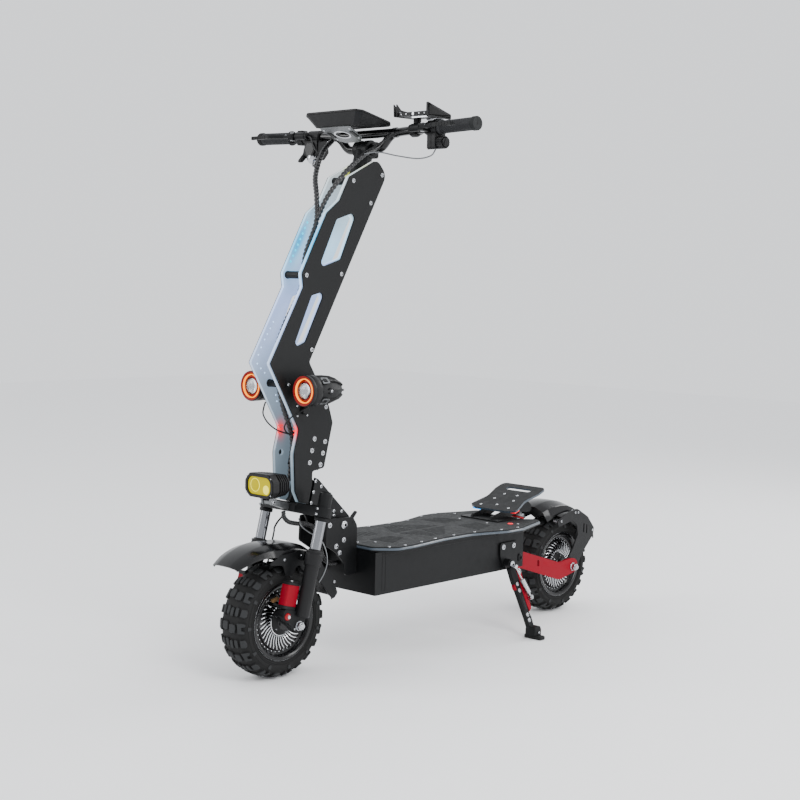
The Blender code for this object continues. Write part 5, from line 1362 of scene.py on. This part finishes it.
lens.done("headlamp", slot="clear_panel")

bracket = Piece("lamp_wiring_block")
bracket.side_screws(((-0.536, 0.683), (-0.503, 0.683), (-0.534, 0.658), (-0.501, 0.658)), PLATE_OUT, 0.003,
    0.002)
for sign in (1, -1):
    bracket.lathe(mm((11.5, 0), (11.5, 7), (9.5, 9), (4, 9.4)), Vector((sign * PLATE_OUT, -0.512, 0.672)),
        X * sign, BLACK, 32)
bracket.done("steering", bevel=0.0004)
dress(("lamp_bar",), BLACK, 0.0005, 2)

# ------------------------------------------------------------------ neck and folding joint
ARM = pivot("swing_arm_hinge")
dress(("neck_frame", "neck_bracket"), BLACK, 0.0012, 3)
dress(("fold_lever",), BLACK, 0.0015, 3)
neck = Piece("neck_bolts")
for s in (0.2968, 0.3796):
    neck.lathe(mm((15, 0), (25.2, 0), (25.8, 0.8), (25.8, 5), (24.6, 6.2), (23.6, 6.2)), steer(0, 0, s),
        UP, BLACK, 56)
neck.side_screws(((-0.454, 0.486), (-0.434, 0.471), (-0.461, 0.459), (-0.469, 0.432)), 0.028, 0.0046,
    0.0016)
# the lever's pin sweeps 1 mm off the plate, over these three
neck.side_screws(((-0.387, 0.403), (-0.387, 0.391), (-0.359, 0.4)), 0.028, 0.0046, 0.0008)
neck.done("front_frame", slot="bright_steel")

joint = Piece("fold_joint_bolts")
joint.side_screws(((-0.424, 0.373), (-0.373, 0.33), (-0.4, 0.316), (-0.387, 0.298)), 0.0515, 0.0046,
    0.0032, washer=True)
for sign in (1, -1):
    start = Vector((sign * 0.0516, FOLD.y, FOLD.z))
    joint.lathe(mm((9.5, 0), (10.5, 0.6), (10.5, 2.2), (9, 3)), start, X * sign, STEEL, 36)
    joint.screw(start + X * sign * 0.0028, X * sign, 0.0086, STEEL, 0.0032)
joint.done("chassis", ("fold_pivot_bolt",), slot="bright_steel")


# ------------------------------------------------------------------ deck
DECK_TOP, EDGE_LOW, EDGE_TOP, PLATE_TOP, MAT_TOP, DECK_LOW = 0.2992, 0.304, 0.3096, 0.31, 0.3125, 0.187
DECK_HALF = mm((105, -325, 30), (152, -275, 50), (152, -210, 80), (133, -75, 120), (133, 45, 120),
    (168, 165, 70), (168, 225, 30), (122, 366, 12), (96, 374, 12), (52, 330, 10))
deck_line = rounded(mirrored(DECK_HALF), 10)


def deck_half(y):
    """Half the deck's width at a place along it."""
    best = 0.0
    for a, b in zip(deck_line, deck_line[1:] + deck_line[:1]):
        if a.x > 0 and min(a.y, b.y) <= y <= max(a.y, b.y) and a.y != b.y:
            best = max(best, a.x + (b.x - a.x) * (y - a.y) / (b.y - a.y))
    return best


def level(outline, height):
    """The outline as points at a height."""
    return [Vector((p.x, p.y, height)) for p in outline]


def rib(mat, corners, radius=0.001):
    """A raised rib of the grip mat."""
    mat.plate(rounded([(x, y, radius) for x, y in corners], 3), MAT_TOP - 0.0004, MAT_TOP + 0.0007, MAT)


def deck():
    """The deck plate with its pale chamfered edge, the ribbed grip mat and its screws."""
    plate = Piece("deck_plate_edge_lit")
    plate.rings([level(inset(deck_line, 0.0012), DECK_TOP + 0.0004), level(deck_line, DECK_TOP + 0.0016),
        level(deck_line, EDGE_LOW)], BLACK)
    plate.rings([level(deck_line, EDGE_LOW), level(deck_line, EDGE_TOP - 0.003),
        level(inset(deck_line, 0.0026), EDGE_TOP)], DECK_EDGE)
    plate.plate(inset(deck_line, 0.0028), EDGE_TOP - 0.0002, PLATE_TOP, BLACK)
    plate.done("chassis", ("deck_plate",), slot="black_alloy")
    mat = Piece("grip_mat_ribbed")
    edge = inset(deck_line, 0.0048)
    mat.rings([level(edge, PLATE_TOP + 0.0003), level(edge, MAT_TOP - 0.001),
        level(inset(edge, 0.001), MAT_TOP)], MAT)
    for sign in (1, -1):
        for k in range(7):
            x = sign * (0.012 + 0.0125 * k)
            near, far = -0.115 + 0.006 * k, 0.062 - 0.014 * k
            for low, high in ((near, near + (far - near) * 0.42), (near + (far - near) * 0.5, far)):
                lean = sign * 0.003
                rib(mat, ((x - 0.0012, low), (x + 0.0012, low), (x + lean + 0.0012, high),
                    (x + lean - 0.0012, high)), 0.0011)
        for k in range(6):
            y = -0.245 + 0.014 * k
            near, far = sign * 0.02, sign * (0.096 - 0.006 * k)
            rib(mat, ((near, y), (far, y + 0.012), (far, y + 0.0145), (near, y + 0.0025)))
            y = 0.11 + 0.014 * k
            near, far = sign * 0.024, sign * (0.112 - 0.004 * k)
            rib(mat, ((near, y), (far, y - 0.01), (far, y - 0.0075), (near, y + 0.0025)))
        for y in (-0.285, -0.235, -0.165, -0.1, -0.02, 0.062, 0.148, 0.215):
            mat.screw(Vector((sign * (deck_half(y) - 0.0115), y, MAT_TOP)), Z, 0.0038, STEEL, 0.0016)
        for x, y in ((0.058, -0.262), (0.03, -0.3), (0.052, 0.205), (0.12, 0.262)):
            mat.screw(Vector((sign * x, y, MAT_TOP)), Z, 0.0034, STEEL, 0.0014)
    mat.done("chassis", ("grip_mat",), angle=40, slot="rubber")


deck()
dress(("deck_case",), BLACK, 0.003, 3)
dress(("battery_pack",), CELL, 0.002, 2)
dress(("motor_controller",), ALLOY, 0.0015, 2)
dress(("footrest_support",), BLACK, 0.001, 2)
trim = Piece("deck_case_trim")
for sign in (1, -1):
    for y in (-0.2985, -0.2865):
        low, high = on_sides(0.1198, 0.1206, sign)
        trim.box((low, y, 0.196), (high, y + 0.0012, 0.296), POWDER)
    for y in (-0.22, -0.1, 0.02, 0.14):
        trim.screw(Vector((sign * 0.1, y, DECK_LOW)), -Z, 0.004, STEEL, 0.0018)
    low, high = on_sides(0.1198, 0.1204, sign)
    trim.box((low, -0.312, 0.288), (high, 0.172, 0.2892), POWDER)
trim.done("chassis")

# ------------------------------------------------------------------ footrest
REST = Matrix.Translation((0, 0.286, 0.3335)) @ Matrix.Rotation(radians(19.5), 4, "X")
half = mm((60, 0, 20), (88, 12, 12), (70, 75, 60), (82, 128, 40), (80, 168, 16))
rest_line = rounded(mirrored(half), 8)
rest_slot = oblong(-0.046, 0.128, 0.046, 0.147, 0.0095)
rest = Piece("footrest_plate_edge_lit")
rest.plate(rest_line, 0.0, 0.006, BLACK, REST, [rest_slot], rim=DECK_EDGE)
for x, y in ((0.052, 0.018), (-0.052, 0.018), (0.036, 0.064), (-0.036, 0.064), (0.024, 0.098),
        (-0.024, 0.098), (0.0, 0.03)):
    rest.screw(REST @ Vector((x, y, 0.006)), REST.to_3x3() @ Z, 0.0042, STEEL, 0.0024)
rest.done("chassis", ("footrest_plate",), bevel=0.0005, slot="black_alloy")
glow = Piece("footrest_lights")
glow.box((-0.074, 0.003, -0.004), (-0.044, 0.012, -0.0002), BLUE_LED, REST)
glow.box((0.056, 0.01, -0.004), (0.082, 0.03, -0.0002), RED_LED, REST)
glow.lathe(mm((8, -0.4), (7.8, 0.8), (5, 1.3)), Vector((0.104, 0.247, MAT_TOP)), Z, RED_LED, 28)
glow.done("chassis", bevel=0.0004)

# ------------------------------------------------------------------ swing arm and shock
dress(("swing_arm",), RED, 0.0012, 3)
caps = Piece("arm_pivot_caps")
for sign in (1, -1):
    start = Vector((sign * 0.1203, ARM.y, ARM.z))
    caps.lathe(mm((7, 0), (10, 0), (10.6, 0.6), (10.6, 3.6), (9.2, 4.8)), start, X * sign, BLACK, 32)
    caps.screw(start + X * sign * 0.0042, X * sign, 0.0082, BLACK, 0.002)
    caps.rod(start - X * sign * 0.1203, start, 0.007, STEEL, 24)
caps.done("chassis", ("arm_pivot_shaft",), slot="bright_steel")

SHOCK_TOP, SHOCK_FOOT = Vector((0, 0.415, 0.333)), Vector((0, 0.372, 0.186))
SHOCK_RUN = (SHOCK_TOP - SHOCK_FOOT).normalized()
SHOCK_LENGTH = (SHOCK_TOP - SHOCK_FOOT).length
body = Piece("shock_body_upper")
body.lathe(mm((8.5, -96), (13, -95), (13, -30), (22, -28.8), (24, -28), (24, -23.2), (15, -21.5),
    (12.5, -15), (11, -4)), SHOCK_TOP, SHOCK_RUN, ALLOY, 40)
for k in range(9):
    body.lathe(mm((13.1, -0.4), (13.5, 0), (13.1, 0.4)), SHOCK_TOP - SHOCK_RUN * (0.034 + 0.0026 * k),
        SHOCK_RUN, STEEL, 32)
body.lathe(mm((5.2, -11), (10.5, -11), (10.5, 11), (5.2, 11)), SHOCK_TOP, X, BLACK, 32, closed=True)
body.done("shock_upper", ("shock_body",), bevel=0.0003, slot="black_alloy")
rod = Piece("shock_rod_lower")
rod.lathe(((0.01, 0.004), (0.01, 0.014), (0.0225, 0.016), (0.024, 0.017), (0.024, 0.021), (0.009, 0.0225),
    (0.0075, 0.03), (0.0045, 0.031), (0.0045, SHOCK_LENGTH - 0.085)), SHOCK_FOOT, SHOCK_RUN, CHROME, 36)
rod.lathe(mm((8.3, -12), (12.5, -12), (12.5, 12), (8.3, 12)), SHOCK_FOOT, X, BLACK, 36, closed=True)
rod.done("shock_lower", ("shock_rod",), bevel=0.0003, slot="bright_steel")


def coil(start, end, inner, outer, turns):
    """A wound spring with flattened end turns."""
    where = frame_along(start, end - start)
    length = (end - start).length
    wire = (outer - inner) / 2
    steps = 26 * turns
    route = []
    for k in range(steps + 1):
        part = k / steps
        eased = min(1.0, max(0.0, (part * turns - 0.75) / (turns - 1.5)))
        height = wire + (length - 2 * wire) * eased
        turn = 2 * pi * turns * part
        route.append(where @ Vector(((inner + wire) * cos(turn), (inner + wire) * sin(turn), height)))
    return Piece("shock_coil_spring").tube(route, wire, RED_GLOSS, 10)


FOOT_SEAT, TOP_SEAT = SHOCK_FOOT + SHOCK_RUN * 0.0213, SHOCK_TOP - SHOCK_RUN * 0.029
spring = coil(FOOT_SEAT, TOP_SEAT, 0.018, 0.0234, 7).done("shock_lower", ("shock_spring",),
    slot="red_spring")
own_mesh(spring)

# ------------------------------------------------------------------ kickstand
KICK_HUB, KICK_FOOT = Vector((0.139, 0.206, 0.201)), Vector((0.202, 0.237, 0.012))
KICK_RUN = (KICK_FOOT - KICK_HUB).normalized()
KICK_BACK = (Y - KICK_RUN * Y.dot(KICK_RUN)).normalized()
KICK = axes(KICK_BACK, KICK_RUN, KICK_BACK.cross(KICK_RUN), KICK_HUB)
OUTWARD = 1 if (KICK.to_3x3() @ Z).x > 0 else -1
KICK_SIDE = KICK.to_3x3() @ Z * OUTWARD


def kick_plate(made, outline, low, high, finish, holes=()):
    """A flat piece along the leg, low and high measured outward from its middle."""
    near, far = sorted((low * OUTWARD, high * OUTWARD))
    return made.plate(outline, near, far, finish, KICK, holes)


def kick_point(back, down, out):
    """A point of the leg's frame, out measured outward from its middle."""
    return KICK @ Vector((back, down, out * OUTWARD))


def kickstand():
    """The leg: forged bar, toothed red link, silver spring cylinder, bolts and shoe."""
    made = Piece("kickstand_leg_forged")
    made.lathe(mm((7.2, -9.8), (12.5, -9.8), (13, -9.2), (13, 9.2), (12.5, 9.8), (7.2, 9.8)),
        Vector((0.1362, *pivot("kickstand_hinge").yz)), X, BLACK, 36, closed=True)
    bar = rounded(mm((-11, 4, 4), (11, 4, 4), (12.5, 40, 20), (8.5, 85, 30), (8.5, 140, 20), (12, 158, 6),
        (9.5, 190, 4), (-10, 190, 4), (-9, 150, 20), (-10, 85, 30), (-13, 40, 20)), 5)
    kick_plate(made, bar, -0.007, 0.007, BLACK)
    slot = oblong(-0.0045, 0.092, 0.0045, 0.132, 0.0015, 4)
    kick_plate(made, slot, 0.0068, 0.0078, PLASTIC)
    for down in (0.055, 0.074, 0.146, 0.162):
        made.screw(kick_point(-0.001, down, 0.007), KICK_SIDE, 0.0042, STEEL, 0.0026, washer=True)
    heel = rounded(mm((186, 222, 6), (222, 222, 6), (226, 252, 6), (186, 252, 6)), 5)
    made.rings([level(inset(heel, 0.003), 0.035), level(heel, 0.027), level(heel, 0.0092)], BLACK)
    sole = rounded(mm((180, 225, 6), (240, 225, 8), (240, 252, 8), (180, 252, 6)), 5)
    made.rings([level(inset(sole, 0.0014), 0.0002), level(sole, 0.0016), level(sole, 0.0076),
        level(inset(sole, 0.0024), 0.01)], RUBBER)
    made.screw(Vector((0.2262, 0.237, 0.019)), X, 0.0034, STEEL, 0.0022)
    made.done("kickstand", ("kickstand_leg",), bevel=0.0009, slot="black_steel")
    linkage = Piece("kickstand_red_link")
    rack = [Vector((0.015, 0.012)), Vector((0.029, 0.01)), Vector((0.031, 0.03)), Vector((0.027, 0.06))]
    for k in range(9):
        rack += [Vector((0.027, 0.064 + 0.0066 * k)), Vector((0.0245, 0.0665 + 0.0066 * k)),
            Vector((0.0245, 0.069 + 0.0066 * k))]
    rack += [Vector((0.0235, 0.134)), Vector((0.012, 0.14)), Vector((0.0092, 0.12)), Vector((0.0092, 0.06))]
    kick_plate(linkage, rack, -0.003, 0.0078, RED)
    lug = rounded(mm((-16, 56, 4), (-8, 50, 4), (-8, 72, 4), (-16, 68, 4)), 4)
    kick_plate(linkage, lug, -0.005, 0.006, RED)
    linkage.screw(kick_point(0.0225, 0.024, 0.0078), KICK_SIDE, 0.006, CHROME, 0.0034, washer=True)
    linkage.done("kickstand", bevel=0.0007)
    damper = Piece("kickstand_spring_cylinder")
    top, low = kick_point(0.002, 0.006, 0.017), kick_point(0.027, 0.104, 0.0165)
    run = (low - top).normalized()
    damper.rod(top + run * 0.004, top + run * 0.05, 0.0021, CHROME, 18)
    damper.lathe(mm((4, 42), (6.2, 43.2), (6.8, 45), (6.8, 84), (6, 86.5), (3, 88)), top, run, STEEL, 32)
    damper.rod(top + run * 0.087, low, 0.0028, CHROME, 18)
    for place, out in ((top, X), (low, KICK_SIDE)):
        damper.lathe(mm((3.2, -4), (6.2, -4), (6.6, -3), (6.6, 3), (6.2, 4), (3.2, 4)), place, out, CHROME,
            28, closed=True)
        damper.rod(place - out * 0.0135, place + out * 0.0052, 0.0033, CHROME, 20)
    damper.done("kickstand")
    plate = Piece("kickstand_bracket_bolts")
    for y in (0.192, 0.238):
        plate.screw(Vector((0.1262, y, 0.254)), X, 0.005, STEEL, 0.003, washer=True)
    plate.screw(Vector((0.1488, *pivot("kickstand_hinge").yz)), X, 0.0064, STEEL, 0.003, washer=True)
    plate.done("chassis")


kickstand()

# ------------------------------------------------------------------ cables
SLEEVE = material("cable_sleeve", (0.008, 0.008, 0.009), 0.34, 0.0, 1200, 0.02, 0.08, shine=0.5)
TRUNK = mm((-95, -300, 1360), (-84, -345, 1325), (-55, -395, 1262), (-18, -425, 1205), (0, -442, 1140),
    (0, -476, 1060), (0, -492, 970), (0, -545, 880), (0, -572, 800), (0, -548, 690), (0, -512, 600),
    (0, -514, 540), (0, -518, 490))
BRANCH = mm((62, -297, 1335), (62, -345, 1310), (44, -392, 1262), (18, -422, 1205), (2, -440, 1150))
FRONT_RUN = mm((0, -538, 414), (0, -535, 399), (2, -521, 386), (4, -494, 379), (4, -462, 374),
    (2, -432, 360), (0, -414, 328), (0, -404, 296), (0, -390, 273), (0, -371, 262), (0, -349.2, 260))
cord("bar_harness_wrapped", TRUNK, 0.0072, SLEEVE, "steering", replaces=("bar_harness",), wrap=0.0115)
cord("bar_harness_branch", BRANCH, 0.0068, SLEEVE, "steering", wrap=0.0115)
cord("front_harness_conduit", FRONT_RUN, 0.0062, SLEEVE, "front_frame", replaces=("front_harness",),
    wrap=0.006)
cord("brake_hose_left", mm((187, -302, 1377.5), (164, -312, 1370), (130, -336, 1348), (95, -350, 1326),
    (70, -348, 1318), (56, -360, 1304)), 0.002, PLASTIC, "steering")
cord("brake_hose_right", mm((-187, -302, 1377.5), (-164, -312, 1370), (-134, -334, 1352),
    (-108, -348, 1336), (-86, -356, 1318), (-68, -386, 1284)), 0.002, PLASTIC, "steering")
cord("switch_cable_left", mm((253, -280, 1324), (246, -290, 1308), (218, -308, 1301), (170, -330, 1308),
    (120, -345, 1318), (78, -352, 1315)), 0.0017, ALLOY, "steering")
cord("throttle_cable_right", mm((-176, -285, 1319), (-172, -294, 1302), (-150, -312, 1296),
    (-120, -332, 1306), (-95, -348, 1317)), 0.0017, PLASTIC, "steering")
cord("lamp_cable_left", mm((78, -534, 683.5), (68, -548, 672), (52, -566, 656), (32, -568, 634),
    (14, -546, 617), (6, -524, 608)), 0.0019, PLASTIC, "steering")
cord("lamp_cable_right", mm((-78, -534, 683.5), (-68, -548, 672), (-52, -564, 656), (-33, -564, 636),
    (-12, -552, 619), (8, -532, 610)), 0.0019, PLASTIC, "steering")
cord("front_brake_hose", mm((30, -512, 397), (45, -516, 380), (66, -511, 367), (87, -493, 351),
    (102, -486, 322), (108, -487, 292), (106, -496, 265), (101, -507, 245)), 0.0019, ALLOY, "steering",
    joined=("fork_lowers", (0.066, -0.511, 0.367), (0.106, -0.496, 0.265)))
cord("front_motor_cable", mm((-30, -512, 397), (-39, -522, 380), (-54, -518, 364), (-74, -501, 351),
    (-92, -489, 329), (-101, -486, 302), (-103, -492, 274), (-100, -506, 248)), 0.0024, PLASTIC,
    "steering", joined=("fork_lowers", (-0.054, -0.518, 0.364), (-0.103, -0.492, 0.274)))

# ------------------------------------------------------------------ floor and soft light
floor_mesh = bpy.data.meshes.new("floor")
FLOOR_REACH = 9
corners = [(x * FLOOR_REACH, y * FLOOR_REACH, 0) for x, y in ((-1, -1), (1, -1), (1, 1), (-1, 1))]
floor_mesh.from_pydata(corners, [], [(0, 1, 2, 3)])
floor_mesh.materials.append(material("pale_floor", (0.95, 0.95, 0.955), 0.6, 0.0, 60, 0.0, 0.05, 0.01))
floor = bpy.data.objects.new("floor", floor_mesh)
floor.location.z = -0.0005
bpy.context.scene.collection.objects.link(floor)

world = bpy.data.worlds.new("studio")
world.use_nodes = True
world.node_tree.nodes["Background"].inputs["Color"].default_value = (0.95, 0.97, 1.0, 1)
world.node_tree.nodes["Background"].inputs["Strength"].default_value = 1.35
bpy.context.scene.world = world
LIGHTS = (("key", (3.2, -1.2, 3.0), (1.6, 1.6), 95), ("front_left", (-2.6, -3.4, 2.2), (1.4, 2.2), 60),
    ("rear", (0.6, 3.4, 2.6), (2.4, 1.4), 60), ("strip", (3.6, 1.6, 1.2), (0.5, 2.4), 40))
LIT_POINT = Vector((0, 0, 0.5))
for name, place, size, power in LIGHTS:
    data = bpy.data.lights.new(name, "AREA")
    data.shape = "RECTANGLE"
    data.size, data.size_y = size
    data.energy = power
    lamp = bpy.data.objects.new(name, data)
    lamp.location = place
    lamp.rotation_euler = (LIT_POINT - Vector(place)).to_track_quat("-Z", "Y").to_euler()
    bpy.context.scene.collection.objects.link(lamp)
